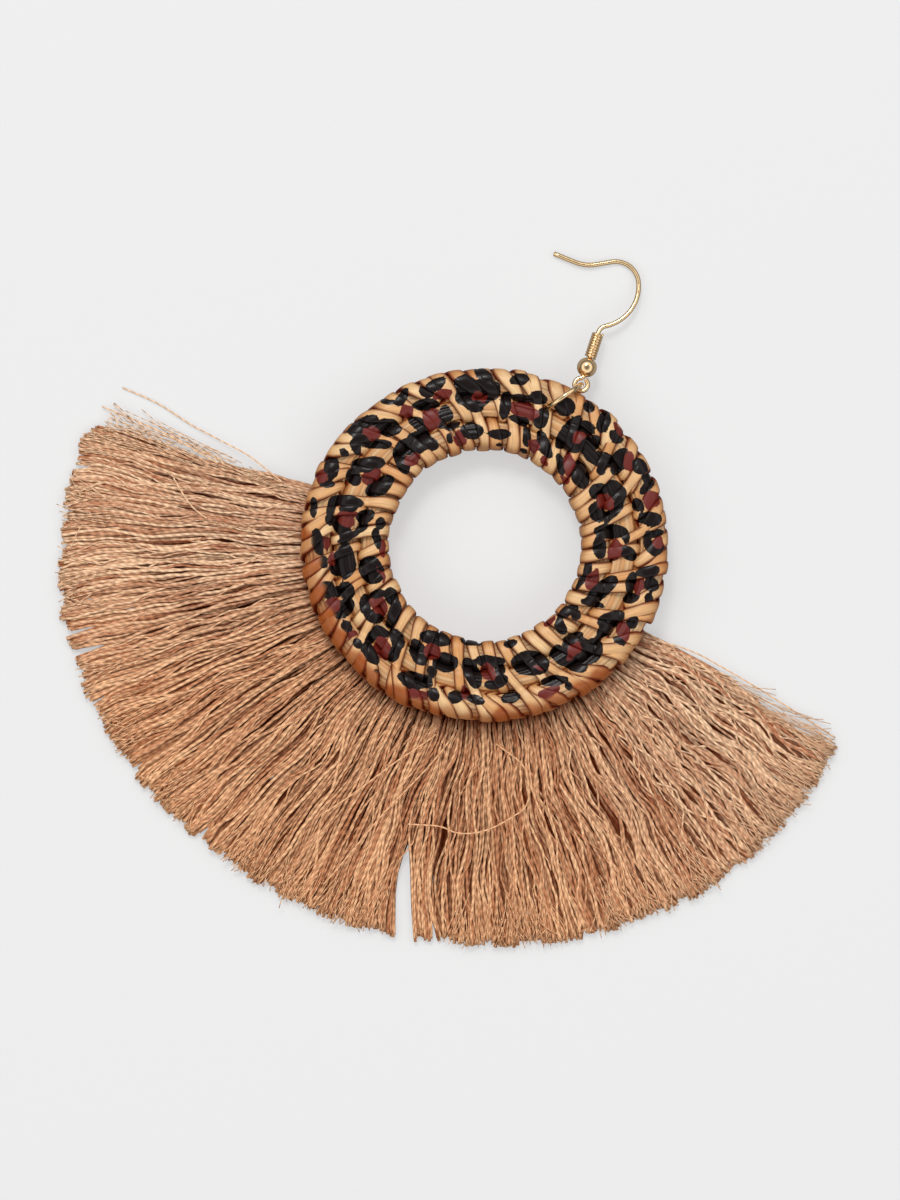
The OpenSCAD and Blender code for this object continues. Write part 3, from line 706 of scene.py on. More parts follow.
def seat_z(radius, angle):
    """Height of the fan's top under the ring."""
    slope = clock(angle, radius)[1] * math.tan(RING_TILT)
    return RING_CENTRE[2] - slope - RING_HALF_T / math.cos(RING_TILT) - SEAT_GAP


def fan_reach():
    """Radius of the fan's tips by angle, read from the CAD fringe without its cuts."""
    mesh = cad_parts["fringe"].data
    points = np.zeros(len(mesh.vertices) * 3)
    mesh.vertices.foreach_get("co", points)
    x, y, _ = (points.reshape(-1, 3) / MM - RING_FOOT).T
    radius, angle = np.hypot(x, y), np.degrees(np.arctan2(x, y)) % 360
    grid = np.arange(FAN_START - 1, FAN_END + 1.01, 0.5)
    window, span = 2.4, 7
    reach = np.array([radius[np.abs(angle - at) < window].max() for at in grid])
    padded = np.pad(reach, span // 2, mode="edge")
    return grid, np.convolve(padded, np.ones(span) / span, mode="valid")


def fan_top(radius, angle, tip_r):
    """Height of the fan's top from the ring's rim to the tips."""
    share = np.clip((radius - RIM_R) / (tip_r - RIM_R), 0, 1)
    near = seat_z(np.minimum(radius, RIM_R), angle)
    top = TIP_T + (near - TIP_T) * (1 - share) ** 1.6
    edge = np.minimum(angle - FAN_START, FAN_END - angle)
    return top * (0.6 + 0.4 * smoothstep(0, 2.5, edge))


def warmth(angle):
    """How warm the yarn is: most in the middle of the fan, least at its two ends."""
    return smoothstep(100, 150, angle) * smoothstep(248, 215, angle)


def wander(rng, radius, waves):
    """Sideways wander of each strand in millimetres, for waves as in FAN_LAYERS."""
    count = len(radius)
    total = np.zeros(radius.shape)
    for low, high, size in waves:
        length = rng.uniform(low, high, (count, 1))
        phase = rng.uniform(0, 1, (count, 1))
        sizes = size * rng.uniform(0.3, 1.4, (count, 1))
        total += sizes * np.sin(2 * math.pi * (radius / length + phase))
    return total


def strand_ends(rng, row, reach, clump):
    """Where a layer's strands begin and end: their angle at the head, at the tips and where
    their lock gathers them, the number of the lock, and the radius of the tips."""
    count = row["count"]
    places = (np.arange(count) + 0.5 + rng.uniform(-0.45, 0.45, count)) / count
    tip = FAN_START + FAN_INSET + (FAN_END - FAN_START - 2 * FAN_INSET) * places
    # The fan thins out towards both edges
    full = 0.02 + 0.98 * smoothstep(2.2, 4.4, FAN_END - tip)
    full = full * (0.1 + 0.9 * smoothstep(0.5, 1.7, tip - FAN_START))
    tip = tip[rng.uniform(0, 1, count) < full]
    count = len(tip)
    warp = 0.9 * clump.at(tip * 0.6, 0.0)
    lock = np.round((tip + warp) / LOCK_WIDTH)
    gathered = tip + row["gather"] * (lock * LOCK_WIDTH - warp - tip)
    head = tip + rng.normal(0, HEAD_STRAY, count) + 2.2 * smoothstep(9, 3, FAN_END - tip)
    crosses = rng.uniform(0, 1, count) < row["crossing"]
    head = head + np.where(crosses, rng.normal(0, CROSSING_STRAY, count), 0)
    head = np.clip(head, FAN_START + FAN_INSET, FAN_END - FAN_INSET)
    ragged = 0.35 * np.sin(lock * 91.7) + 0.25 * np.sin(tip * 7.3) - 0.3
    tip_r = np.interp(tip, *reach) - rng.gamma(1.3, 0.3, count) + ragged
    short = rng.uniform(0, 1, count) < row["short"]
    tip_r = tip_r - np.where(short, rng.uniform(*SHORT_CUT, count), 0)
    thinned = rng.uniform(0, 1, count) < SPARSE_SHARE * (np.abs(tip - SPARSE_ANGLE) < SPARSE_HALF)
    tip_r = tip_r - np.where(thinned, rng.uniform(*SPARSE_CUT, count), 0)
    return head, tip, gathered, lock, tip_r


def part_fan(angle, radius, tip, reach):
    """The strands' angles, moved aside where the fan parts."""
    for split, depth, gap, lean in FAN_SPLITS:
        inner_r = np.interp(split, *reach) - depth
        away = tip[:, None] - split
        share = np.clip((radius - inner_r) / depth, 0, 1)
        bend = lean * (1 - share) * smoothstep(RIM_R - 2, inner_r, radius)
        angle = angle + bend * np.exp(-(away / SPLIT_BEND) ** 2)
        side = np.where(away >= 0, 1.0, -1.0)
        apart = np.maximum(side * (angle - split - bend), 0)
        half_gap = np.degrees(gap / radius) * share ** 0.8
        closing = half_gap + apart * (SPLIT_PUSH - half_gap) / SPLIT_PUSH
        near = (np.abs(away) < SPLIT_PUSH) * (apart < SPLIT_PUSH)
        pushed = split + bend + side * closing
        angle = angle + (pushed - angle) * smoothstep(0, 0.35, share) * near
    return angle


def curled(rng, angle, radius, s, lock, waves, sway):
    """The strands' angles with their curls: the fan's, those of each lock and each strand's."""
    own_phase = rng.uniform(0, 2 * math.pi)
    offset = FAN_SWAY * sway.at(angle * 0.2, radius * 0.45)
    for size, length, turn in LOCK_CURLS:
        phase = lock * turn + 3 * np.sin(lock * 1.7) + own_phase
        pace = 1 + 0.25 * np.sin(lock * 4.3)
        offset = offset + size * np.sin(2 * math.pi * radius * pace / length + phase)
    offset = offset + wander(rng, radius, waves)
    # The yarn curls most at the fan's right side, and not at its head
    curl = (1 + 0.8 * smoothstep(170, 115, angle)) * smoothstep(0, 0.3, s)
    return angle + np.degrees(offset * curl / radius)


def strand_shades(angle, radius, s, height, upward):
    """Values for the yarn's colours: painted depth shade, less of it near the fan's edges, the warmth,
    the ring's painted shadow and the tips where the painted shade lifts. upward is 1 on the upper side
    of a strand and 0 on its lower side."""
    # Painted depth shade: the upper side of a strand is as deep as it lies under the fan's top, its
    # lower side as deep as it lies over the fan's back
    lower = np.minimum(height, 1 - height + UNDERSIDE_SHADE)[:, :, None]
    deep = lower + (1 - height[:, :, None] - lower) * upward
    edge = np.minimum(angle - FAN_START, FAN_END - angle)
    edge_light = (0.3 + 0.7 * smoothstep(0.5, 4, edge)) * (1 - 0.25 * smoothstep(230, 255, angle))
    under_ring = smoothstep(RIM_R + 1.1, RIM_R - 1.3, radius)
    outer = smoothstep(0.5, 0.95, s) * (0.26 + 0.64 * smoothstep(190, 235, angle))
    outer = np.maximum(outer, 0.85 * smoothstep(0.9, 0.99, s))
    return dict(deep=deep * edge_light[:, :, None], warm=warmth(angle)[:, :, None],
                shade=under_ring[:, :, None] * upward, tip=outer[:, :, None])


def strands(shape, rng, row, diameter, reach, fields):
    """One layer of the fan's strands, a row of FAN_LAYERS."""
    head, tip, gathered, lock, tip_r = strand_ends(rng, row, reach, fields["clump"])
    count = len(tip)
    s = np.linspace(0, 1, row["steps"])[None]
    radius = row["start"] + (tip_r[:, None] - row["start"]) * s
    angle = head[:, None] + (tip - head)[:, None] * s ** 0.8
    belly = np.sin(math.pi * np.clip(s * 1.15, 0, 1)) ** 0.5
    angle = angle + (gathered - tip)[:, None] * belly
    angle = curled(rng, angle, radius, s, lock[:, None], row["waves"], fields["sway"])
    angle = part_fan(angle, radius, tip, reach)
    beside = rng.uniform(0, 1.1, (count, 1)) * smoothstep(0.1, 0.6, s)
    angle = np.clip(angle, FAN_START - 0.3 * beside, FAN_END + beside)
    height = rng.uniform(*row["heights"], (count, 1))
    height = np.clip(height + wander(rng, radius, HEIGHT_WAVES), 0, 1)
    top = fan_top(radius, angle, tip_r[:, None])
    relief = 1 - 0.2 * smoothstep(-0.2, 1.2, fields["relief"].at(angle * 1.3, radius * 0.1))
    z = diameter / 2 + 0.02 + height * np.maximum(top * relief - diameter - 0.04, 0)
    centres = over_floor(angle, radius, z)
    # A strand of four corners lies on a flat side
    turn = math.pi / 4 if row["corners"] == 4 else 0.0
    section = round_section(row["corners"], diameter / 2, turn)
    upward = np.clip((section[:, 1] / (diameter / 2) + 0.6) / 1.2, 0, 1)
    shape.sweep(centres, *frames_along(centres), section, size=rng.uniform(0.8, 1.2, (count, 1)),
                tone=rng.uniform(0, 1, (count, 1, 1)),
                **strand_shades(angle, radius, s, height, upward))


def fine_fibres(shape, rng, start, low_r, high_r, turn, diameter, reach):
    """Fine fibres that have come untwisted. start is the angle where each leaves the fan, turn
    the degrees by which it strays."""
    count = len(start)
    s = np.linspace(0, 1, 5)[None]
    radius = low_r[:, None] + (high_r - low_r)[:, None] * s
    angle = start[:, None] + turn[:, None] * s + rng.normal(0, 0.6, (count, 1)) * s ** 2
    inside = np.clip(angle, FAN_START, FAN_END)
    top = fan_top(radius, inside, np.interp(start, *reach)[:, None])
    top = top * smoothstep(5, 0, np.abs(angle - inside))
    z = diameter + 0.1 + rng.uniform(0.4, 1.0, (count, 1)) * top
    centres = over_floor(angle, radius, z)
    shape.sweep(centres, *frames_along(centres), round_section(3, diameter / 2),
                tone=rng.uniform(0.9, 1.4, (count, 1, 1)), deep=0.0,
                warm=warmth(angle)[:, :, None], shade=0.0, tip=1.0, fibre=1.0)


def frayed_ends(shape, rng, diameter, reach):
    """Fibres at the ends of the strands and along the two upper edges of the fan."""
    start = rng.uniform(FAN_START + 0.8, FAN_END - 3.0, TIP_FIBRES)
    for split, *_ in FAN_SPLITS:
        start = start[np.abs(start - split) > 2.6]
    start = start[np.abs(start - SPARSE_ANGLE) > SPARSE_HALF]
    count = len(start)
    tip_r = np.interp(start, *reach)
    low_r = tip_r - rng.uniform(2, 8, count)
    high_r = tip_r + rng.normal(-0.5, 0.5, count)
    turn = rng.normal(0, 1.0, count)
    fine_fibres(shape, rng, start, low_r, high_r, turn, diameter, reach)
    for edge, side, count, within in EDGE_FIBRES:
        start = edge - side * rng.uniform(0.3, within, count)
        low_r = rng.uniform(27, 52, count)
        high_r = np.minimum(low_r + rng.uniform(5, 13, count), np.interp(start, *reach) - 2)
        turn = side * rng.uniform(-0.5, 2.6, count)
        fine_fibres(shape, rng, start, low_r, high_r, turn, diameter * 0.9, reach)


def loose_strand(shape, points, diameter):
    """One strand through points (angle, radius, height), as a smooth line."""
    control = np.array(points, float)
    last = len(control) - 1
    at = np.linspace(0, last, 12 * last + 1)
    index = np.clip(at.astype(int), 0, last - 1)
    t = (at - index)[:, None]
    before, start, end, after = (control[np.clip(index + k, 0, last)] for k in (-1, 0, 1, 2))
    line = 0.5 * (2 * start + (end - before) * t
                  + (2 * before - 5 * start + 4 * end - after) * t ** 2
                  + (3 * start - before - 3 * end + after) * t ** 3)
    centres = over_floor(*line.T)[None]
    shape.sweep(centres, *frames_along(centres), round_section(6, diameter / 2), tone=0.9,
                deep=0.0, warm=warmth(line[:, 0])[None, :, None], shade=0.0, tip=0.0, fibre=0.7)


def fringe_pieces(settings, material, rng):
    """The fan: layers of strands, and the loose ones that lie over it and beside it."""
    reach = fan_reach()
    fields = dict(clump=Waves(rng, 11), sway=Waves(rng, 8, 9), relief=Waves(rng, 3.0, 9))
    diameter = settings.strand_diameter / MM
    for row in FAN_LAYERS:
        layer = Shape()
        strands(layer, rng, row, diameter * row["thick"], reach, fields)
        layer.piece(row["name"], material, row["stands_for"])
    frayed = Shape()
    frayed_ends(frayed, rng, diameter * FIBRE_D, reach)
    frayed.piece("fringe_frayed_ends", material)
    loose = Shape()
    for points in FLYAWAYS:
        loose_strand(loose, points, diameter * LOOSE_D)
    loose.piece("fringe_flyaways", material)


def head_loops(settings, material, rng):
    """Loops of yarn behind the ring, in bundles of four strands."""
    bundles = round((FAN_END - FAN_START) / HEAD_BUNDLE)
    angles = FAN_START + HEAD_BUNDLE * (np.repeat(np.arange(bundles), len(HEAD_LANES)) + 0.5)
    angles = angles[:, None]
    lanes = np.tile(HEAD_LANES, bundles)[:, None]
    high_z = seat_z(16.0, angles) - HEAD_UNDER_SEAT
    bend_r = (high_z - HEAD_LOW_Z) / 2
    turn = np.linspace(0, math.pi, 9)[1:-1]
    inner_r = HEAD_R + 1.9
    # In along the back, round the bend and out under the ring
    radius = np.concatenate([
        np.linspace(HEAD_OUT_R, inner_r, 9) + 0 * angles,
        HEAD_R + 1.2 - np.minimum(bend_r, 0.9) * np.sin(turn),
        np.linspace(inner_r, HEAD_OUT_R - 1.5, 7) + 0 * angles,
    ], 1)
    height = np.concatenate([
        np.full(9, HEAD_LOW_Z) + 0 * angles,
        HEAD_LOW_Z + bend_r * (1 - np.cos(turn)),
        np.zeros(7) + high_z,
    ], 1)
    spread = lanes * (HEAD_SPREAD + 0.012 * (radius - HEAD_R)) + rng.normal(0, 0.03, radius.shape)
    angle = angles + np.degrees(spread / radius)
    centres = over_floor(angle, radius, height)
    x, y = clock(angle + 90, 1)
    across = np.stack([x, y, np.zeros_like(x)], -1)
    up = unit(np.cross(across, unit(np.gradient(centres, axis=1))))
    loops = Shape()
    loops.sweep(centres, across, up, round_section(6, settings.strand_diameter / MM / 2),
                tone=rng.uniform(0.4, 1, (len(angles), 1, 1)),
                deep=0.1, warm=0.3, shade=0.0, tip=0.0)
    loops.piece("head_loops", material)


def head_twining(settings, material):
    """Rows of two threads that run over the bundles at the back and in between them."""
    diameter = settings.thread_diameter / MM
    angle = np.linspace(FAN_START + 0.9, FAN_END - 0.9, 420)
    over = np.abs(np.sin(math.pi * (angle - FAN_START) / HEAD_BUNDLE)) ** 0.35
    height = 0.02 + diameter / 2 + (1 - over) * TWINING_DIP
    rows = Shape()
    for k in range(TWINING_ROWS):
        for half in (-0.55, 0.55):
            radius = TWINING_R + TWINING_WIDTH * k / (TWINING_ROWS - 1) + half * diameter * 0.95
            radius = radius + 0.05 * np.sin(angle * 2.1 + k)
            centres = over_floor(angle, radius, height)[None]
            rows.sweep(centres, *frames_along(centres), round_section(6, diameter / 2), tone=0.5)
    rows.piece("head_twining", material, ["head_thread"])


# Metal

def hook_to_world(points):
    """Points from the ear wire's own plane to the place where it lies."""
    x, y, z = points[..., 0], points[..., 1], points[..., 2]
    y, z = turned(y, z, -HOOK_DIP)
    x, z = turned(x, z, HOOK_ROLL)
    x, y = turned(x, y, HOOK_LEAN)
    return np.stack([x, y, z], -1) + EYE_CENTRE


def hook_line():
    """The ear wire's middle line in its own plane: round the eye, up the stem, over the bends."""
    turn = np.radians(np.arange(70, -251, -8))
    line = [(EYE_R * math.cos(t), EYE_R * math.sin(t)) for t in turn]
    line += [(-0.13, 1.02), (-0.02, 1.22)]
    line += [(0, u) for u in np.arange(1.5, BEND_U, 0.5)]
    x, y, heading = 0.0, BEND_U, 0.0
    line.append((x, y))
    for bend in HOOK_BENDS:
        run, radius = bend["run"] * HOOK_H, bend["radius"] * HOOK_H
        if run:
            x, y = x + run * math.sin(heading), y + run * math.cos(heading)
            line.append((x, y))
        side = math.copysign(radius, bend["turn"])
        cx, cy = x + side * math.cos(heading), y - side * math.sin(heading)
        steps = max(3, int(abs(bend["turn"]) / 5))
        for now in heading + math.radians(bend["turn"]) * np.arange(1, steps + 1) / steps:
            line.append((cx - side * math.cos(now), cy + side * math.sin(now)))
        heading += math.radians(bend["turn"])
        x, y = line[-1]
    for run in TAIL_LEN * np.arange(1, 5) / 4:
        line.append((x + run * math.sin(heading), y + run * math.cos(heading)))
    return np.array([(px, py, 0) for px, py in line])


def hook_piece(name, stands_for, material, line, across, up, section, **shaping):
    """One piece of the ear wire, swept along a line in the ear wire's own plane."""
    origin = hook_to_world(np.zeros(3))
    shape = Shape()
    shape.sweep(hook_to_world(line)[None], (hook_to_world(across) - origin)[None],
                (hook_to_world(up) - origin)[None], section, **shaping)
    shape.piece(name, material, [stands_for])


def ear_wire_piece(material):
    """The bent wire, with its two ends rounded."""
    line = hook_line()
    ahead = unit(np.gradient(line, axis=0)) * END_ROUNDING
    line = np.concatenate([line[:1], line[:1] + ahead[:1], line[1:-1],
                           line[-1:] - ahead[-1:], line[-1:]])
    size = np.ones(len(line))
    size[[0, -1]] = END_SIZE
    up = np.broadcast_to(UP, line.shape)
    across = np.cross(unit(np.gradient(line, axis=0)), up)
    hook_piece("wire_hook", "ear_hook", material, line, across, up,
               round_section(20, WIRE_D / 2), size=size)


def coil_piece(material):
    """The turns of thin wire round the stem."""
    turn = np.arange(0, COIL_TURN, 12.0)
    a = np.radians(turn)
    outward = np.stack([np.cos(a), np.zeros_like(a), np.sin(a)], -1)
    line = outward * COIL_R
    line[:, 1] = COIL_U + turn / 360 * COIL_PITCH
    up = np.cross(unit(np.gradient(line, axis=0)), outward)
    hook_piece("wire_coil", "hook_coil", material, line, outward, up,
               round_section(12, COIL_WIRE_D / 2))


def ball_piece(material):
    """The ball, turned round its bore."""
    lip = math.asin(BALL_BORE_R / BALL_R) * 1.12
    swing = np.linspace(lip, math.pi - lip, 41)
    bore = BALL_BORE_R * np.array([1.02, 1, 1, 1.02])
    radius = np.concatenate([BALL_R * np.sin(swing), bore])
    height = np.concatenate([BALL_R * np.cos(swing), BALL_BORE_U])
    a = np.radians(np.arange(0, 360, 6.0))
    outward = np.stack([np.cos(a), np.zeros_like(a), np.sin(a)], -1)
    stem = np.broadcast_to([0.0, 1.0, 0.0], outward.shape)
    hook_piece("wire_ball", "hook_ball", material, stem * BALL_U, outward, stem,
               np.stack([radius, height], 1), closed=True)


def jump_ring_piece(material):
    """The wire ring through the cane, with the thin gap where its ends meet."""
    a = np.radians(np.linspace(JUMP_JOIN, JUMP_JOIN + JUMP_TURN, 91))[:, None]
    outward = np.cos(a) * JUMP_LEVEL + np.sin(a) * UP
    side = np.broadcast_to(np.cross(JUMP_LEVEL, UP), outward.shape)
    ring = Shape()
    ring.sweep((JUMP_CENTRE + outward * JUMP_R)[None], outward[None], side[None],
               round_section(18, JUMP_WIRE_D / 2))
    ring.piece("wire_jump_ring", material, ["jump_ring"])


# Materials

# Sockets of a colour mix: its factor, its two colours and the mixed colour
FACTOR, COLOUR_A, COLOUR_B, MIXED = 0, 6, 7, 2


def add_node(tree, kind, inputs=None, output=0, **settings):
    """Adds a shader node with its settings, sets or links its inputs, and gives one output."""
    node = tree.nodes.new("ShaderNode" + kind)
    for name, value in settings.items():
        setattr(node, name, value)
    for key, value in (inputs or {}).items():
        if isinstance(value, bpy.types.NodeSocket):
            tree.links.new(value, node.inputs[key])
        else:
            node.inputs[key].default_value = value
    return node.outputs[output] if node.outputs else None


def new_tree(owner):
    """The empty node tree of a material or a world."""
    owner.use_nodes = True
    owner.node_tree.nodes.clear()
    return owner.node_tree


def read_values(tree, *names):
    """The values that a mesh holds at its points, by name."""
    return {name: add_node(tree, "Attribute", output="Fac", attribute_name=name) for name in names}


def cane_material(settings):
    """Rattan peel, split and scraped, stained honey, with a screen print and a clear lacquer."""
    # The peel gives long fine streaks and a satin shine, painted shade and a red-brown stain gather in
    # the crevices, and the ink lies glossy and crisp over both.
    material = bpy.data.materials.new("split_rattan_printed_and_lacquered")
    tree = new_tree(material)
    uv = add_node(tree, "UVMap", uv_map="UVMap")
    where = add_node(tree, "TexCoord", output="Object")
    value = read_values(tree, "ink", "wine", "rim_tint", "printed", "front", "crease", "tone")
    # Streaks 0.105 mm apart round a strip and about 3 mm long
    streak_rate = (STRIP_ROUND / 0.105, 0.35, 1.0)
    stretched = add_node(tree, "Mapping", {"Vector": uv, "Scale": streak_rate})
    streaks = add_node(tree, "TexNoise", {"Vector": stretched, "Scale": 1.0, "Detail": 3.0,
                                          "Roughness": 0.6}, noise_dimensions="2D")
    # Patches of stain about 4 mm across
    patches = add_node(tree, "TexNoise", {"Vector": where, "Scale": 1 / (4 * MM), "Detail": 2.0})
    tone = add_node(tree, "Math", {0: value["tone"], 1: 0.8}, operation="MULTIPLY")
    paleness = add_node(tree, "Math", {0: patches, 1: 0.3, 2: tone}, operation="MULTIPLY_ADD")
    front = add_node(tree, "Mix", {FACTOR: paleness, COLOUR_A: settings.cane_dark,
                                   COLOUR_B: settings.cane_light}, MIXED, data_type="RGBA")
    bare = add_node(tree, "Mix", {FACTOR: paleness, COLOUR_A: settings.bare_dark,
                                  COLOUR_B: settings.bare_light}, MIXED, data_type="RGBA")
    # Up-facing cane takes the paler colours; the sides' darker colours are partly unprinted cane and
    # partly painted shade
    ground = add_node(tree, "Mix", {FACTOR: value["front"], COLOUR_A: bare, COLOUR_B: front},
                      MIXED, data_type="RGBA")
    # Darker strips take more of the rim's tint
    takes = add_node(tree, "Math", {0: paleness, 1: -0.9, 2: 1.25}, operation="MULTIPLY_ADD")
    rim_tint_share = add_node(tree, "Math", {0: takes, 1: value["rim_tint"]}, operation="MULTIPLY",
                      use_clamp=True)
    rim_tinted = add_node(tree, "Mix", {FACTOR: rim_tint_share, COLOUR_A: ground, COLOUR_B: settings.rim_tint},
                       MIXED, data_type="RGBA")
    streaked = add_node(tree, "MapRange", {"Value": streaks, "From Min": 0.35, "From Max": 0.7,
                                           "To Min": 0.8, "To Max": 1.06})
    grained = add_node(tree, "Mix", {FACTOR: 1.0, COLOUR_A: rim_tinted, COLOUR_B: streaked},
                       MIXED, data_type="RGBA", blend_type="MULTIPLY")
    # Painted shade and red-brown stain in the crevices
    colour = add_node(tree, "Mix", {FACTOR: value["crease"], COLOUR_A: grained,
                                    COLOUR_B: settings.crevice_stain_and_shade}, MIXED, data_type="RGBA")
    # A crisp ink edge with a frayed line about 0.1 mm wide
    fray = add_node(tree, "TexNoise", {"Vector": where, "Scale": 1 / (0.5 * MM), "Detail": 2.0})
    for name in ("wine", "ink"):
        depth = add_node(tree, "Math", {0: fray, 1: 0.22, 2: value[name]},
                         operation="MULTIPLY_ADD")
        edge = add_node(tree, "MapRange", {"Value": depth, "From Min": 0.07, "From Max": 0.15},
                        interpolation_type="SMOOTHSTEP")
        inked = add_node(tree, "Math", {0: edge, 1: value["printed"]}, operation="MULTIPLY")
        colour = add_node(tree, "Mix", {FACTOR: inked, COLOUR_A: colour,
                                        COLOUR_B: getattr(settings, name)},
                          MIXED, data_type="RGBA")
    # The black ink is the glossiest, and the crevices lose most of their shine along with their
    # painted shade
    gloss = add_node(tree, "MapRange", {"Value": inked, "To Min": 0.42, "To Max": 0.24})
    crease_shine = add_node(tree, "MapRange", {"Value": value["crease"], "To Min": 0.45,
                                          "To Max": 0.08})
    shine = add_node(tree, "MapRange", {"Value": inked, "To Min": crease_shine, "To Max": 0.22})
    bump = add_node(tree, "Bump", {"Height": streaks, "Strength": 0.35, "Distance": 0.05 * MM})
    peel = add_node(tree, "BsdfPrincipled", {"Base Color": colour, "Roughness": gloss, "IOR": 1.5,
                                             "Specular IOR Level": shine, "Normal": bump})
    add_node(tree, "OutputMaterial", {"Surface": peel})
    return material


def yarn_material(settings):
    """Viscose embroidery yarn, two plies twisted and cut."""
    # Painted highlight flecks stand in for the silky shine that the twist breaks up, and painted shade
    # darkens and reddens the strands as they lie deeper in the fan.
    material = bpy.data.materials.new("viscose_yarn_twisted")
    tree = new_tree(material)
    uv = add_node(tree, "UVMap", uv_map="UVMap")
    value = read_values(tree, "tone", "deep", "warm", "shade", "tip", "fibre")
    around = add_node(tree, "SeparateXYZ", {0: uv}, "X")
    run = add_node(tree, "SeparateXYZ", {0: uv}, "Y")
    # Two plies with a twist of 2.4 mm, about twice as long as the real one so that it shows
    along = add_node(tree, "Math", {0: run, 1: 1 / 2.4, 2: value["tone"]},
                     operation="MULTIPLY_ADD")
    turns = add_node(tree, "Math", {0: around, 1: along}, operation="ADD")
    angle = add_node(tree, "Math", {0: turns, 1: 4 * math.pi}, operation="MULTIPLY")
    plies = add_node(tree, "Math", {0: angle}, operation="SINE")
    ply = add_node(tree, "MapRange", {"Value": plies, "From Min": -1.0, "From Max": 1.0})
    # Painted highlight flecks about 3 mm long along the strands
    where = add_node(tree, "TexCoord", output="Object")
    glint_flecks = add_node(tree, "TexNoise", {"Vector": where, "Scale": 1 / (3 * MM), "Detail": 2.0,
                                         "Roughness": 0.6})
    warm = add_node(tree, "Mix", {FACTOR: value["warm"], COLOUR_A: settings.yarn_pale,
                                  COLOUR_B: settings.yarn_warm}, MIXED, data_type="RGBA")
    spread = add_node(tree, "Math", {0: glint_flecks, 1: 0.6, 2: value["tone"]},
                      operation="MULTIPLY_ADD")
    paleness = add_node(tree, "MapRange", {"Value": spread, "From Min": 0.15, "From Max": 1.05})
    lit = add_node(tree, "Mix", {FACTOR: paleness, COLOUR_A: settings.yarn_brown,
                                 COLOUR_B: warm}, MIXED, data_type="RGBA")
    # A single fibre has no twist
    dark_ply = add_node(tree, "MapRange", {"Value": value["fibre"], "To Min": 0.76,
                                           "To Max": 1.0})
    # Painted shade in the grooves between the plies and a painted highlight on their crests
    ply_shade = add_node(tree, "MapRange", {"Value": ply, "To Min": dark_ply, "To Max": 1.12})
    twisted = add_node(tree, "Mix", {FACTOR: 1.0, COLOUR_A: lit, COLOUR_B: ply_shade},
                       MIXED, data_type="RGBA", blend_type="MULTIPLY")
    depth = add_node(tree, "MapRange", {"Value": value["deep"], "From Min": 0.03,
                                        "From Max": 0.42})
    low = add_node(tree, "Math", {0: depth, 1: value["shade"]}, operation="ADD", use_clamp=True)
    # The cut ends let light through, so the painted depth shade lifts at them
    dark = add_node(tree, "Math", {0: value["tip"], 1: -0.9, 2: low}, operation="MULTIPLY_ADD",
                    use_clamp=True)
    colour = add_node(tree, "Mix", {FACTOR: dark, COLOUR_A: twisted,
                                    COLOUR_B: settings.yarn_deep}, MIXED, data_type="RGBA")
    # The painted depth shade also takes away the shine
    shine = add_node(tree, "MapRange", {"Value": low, "To Min": 0.5, "To Max": 0.05})
    bump = add_node(tree, "Bump", {"Height": ply, "Strength": 0.6, "Distance": 0.12 * MM})
    yarn = add_node(tree, "BsdfPrincipled", {"Base Color": colour, "Roughness": 0.36, "IOR": 1.5,
                                             "Specular IOR Level": shine, "Normal": bump})
    add_node(tree, "OutputMaterial", {"Surface": yarn})
    return material


def thread_material(settings):
    """Metallised film thread, wound on a core: a bright soft gold with a fine winding."""
    # The film is wound in turns 0.45 mm wide; a painted highlight and painted shade on each turn stand
    # in for the light that it catches.
    material = bpy.data.materials.new("metallised_thread_wound")
    tree = new_tree(material)
    uv = add_node(tree, "UVMap", uv_map="UVMap")
    around = add_node(tree, "SeparateXYZ", {0: uv}, "X")
    run = add_node(tree, "SeparateXYZ", {0: uv}, "Y")
    along = add_node(tree, "Math", {0: run, 1: 1 / 0.45}, operation="MULTIPLY")
    turns = add_node(tree, "Math", {0: around, 1: along}, operation="ADD")
    angle = add_node(tree, "Math", {0: turns, 1: 2 * math.pi}, operation="MULTIPLY")
    winding = add_node(tree, "Math", {0: angle}, operation="SINE")
    painted_winding_light = add_node(tree, "MapRange", {"Value": winding, "From Min": -1.0, "From Max": 1.0})
    colour = add_node(tree, "Mix", {FACTOR: painted_winding_light, COLOUR_A: settings.thread_shade,
                                    COLOUR_B: settings.thread_highlight}, MIXED, data_type="RGBA")
    bump = add_node(tree, "Bump", {"Height": painted_winding_light, "Strength": 0.7, "Distance": 0.08 * MM})
    thread = add_node(tree, "BsdfPrincipled", {"Base Color": colour, "Metallic": 0.6,
                                               "Roughness": 0.4, "Normal": bump})
    add_node(tree, "OutputMaterial", {"Surface": thread})
    return material


def gilt_material(settings):
    """Brass wire, drawn and polished, with a pale gold plating."""
    # Drawing leaves faint rubs, about 0.6 mm apart, that break the mirror up into soft bright
    # and dark bands.
    material = bpy.data.materials.new("brass_wire_gold_plated")
    tree = new_tree(material)
    where = add_node(tree, "TexCoord", output="Object")
    rubs = add_node(tree, "TexNoise", {"Vector": where, "Scale": 1 / (0.6 * MM), "Detail": 3.0})
    rough = add_node(tree, "MapRange", {"Value": rubs, "From Min": 0.3, "From Max": 0.7,
                                        "To Min": 0.1, "To Max": 0.24})
    bump = add_node(tree, "Bump", {"Height": rubs, "Strength": 0.15, "Distance": 0.02 * MM})
    gilt = add_node(tree, "BsdfPrincipled", {"Base Color": settings.gilt, "Metallic": 1.0,
                                             "Roughness": rough, "Normal": bump})
    add_node(tree, "OutputMaterial", {"Surface": gilt})
    return material


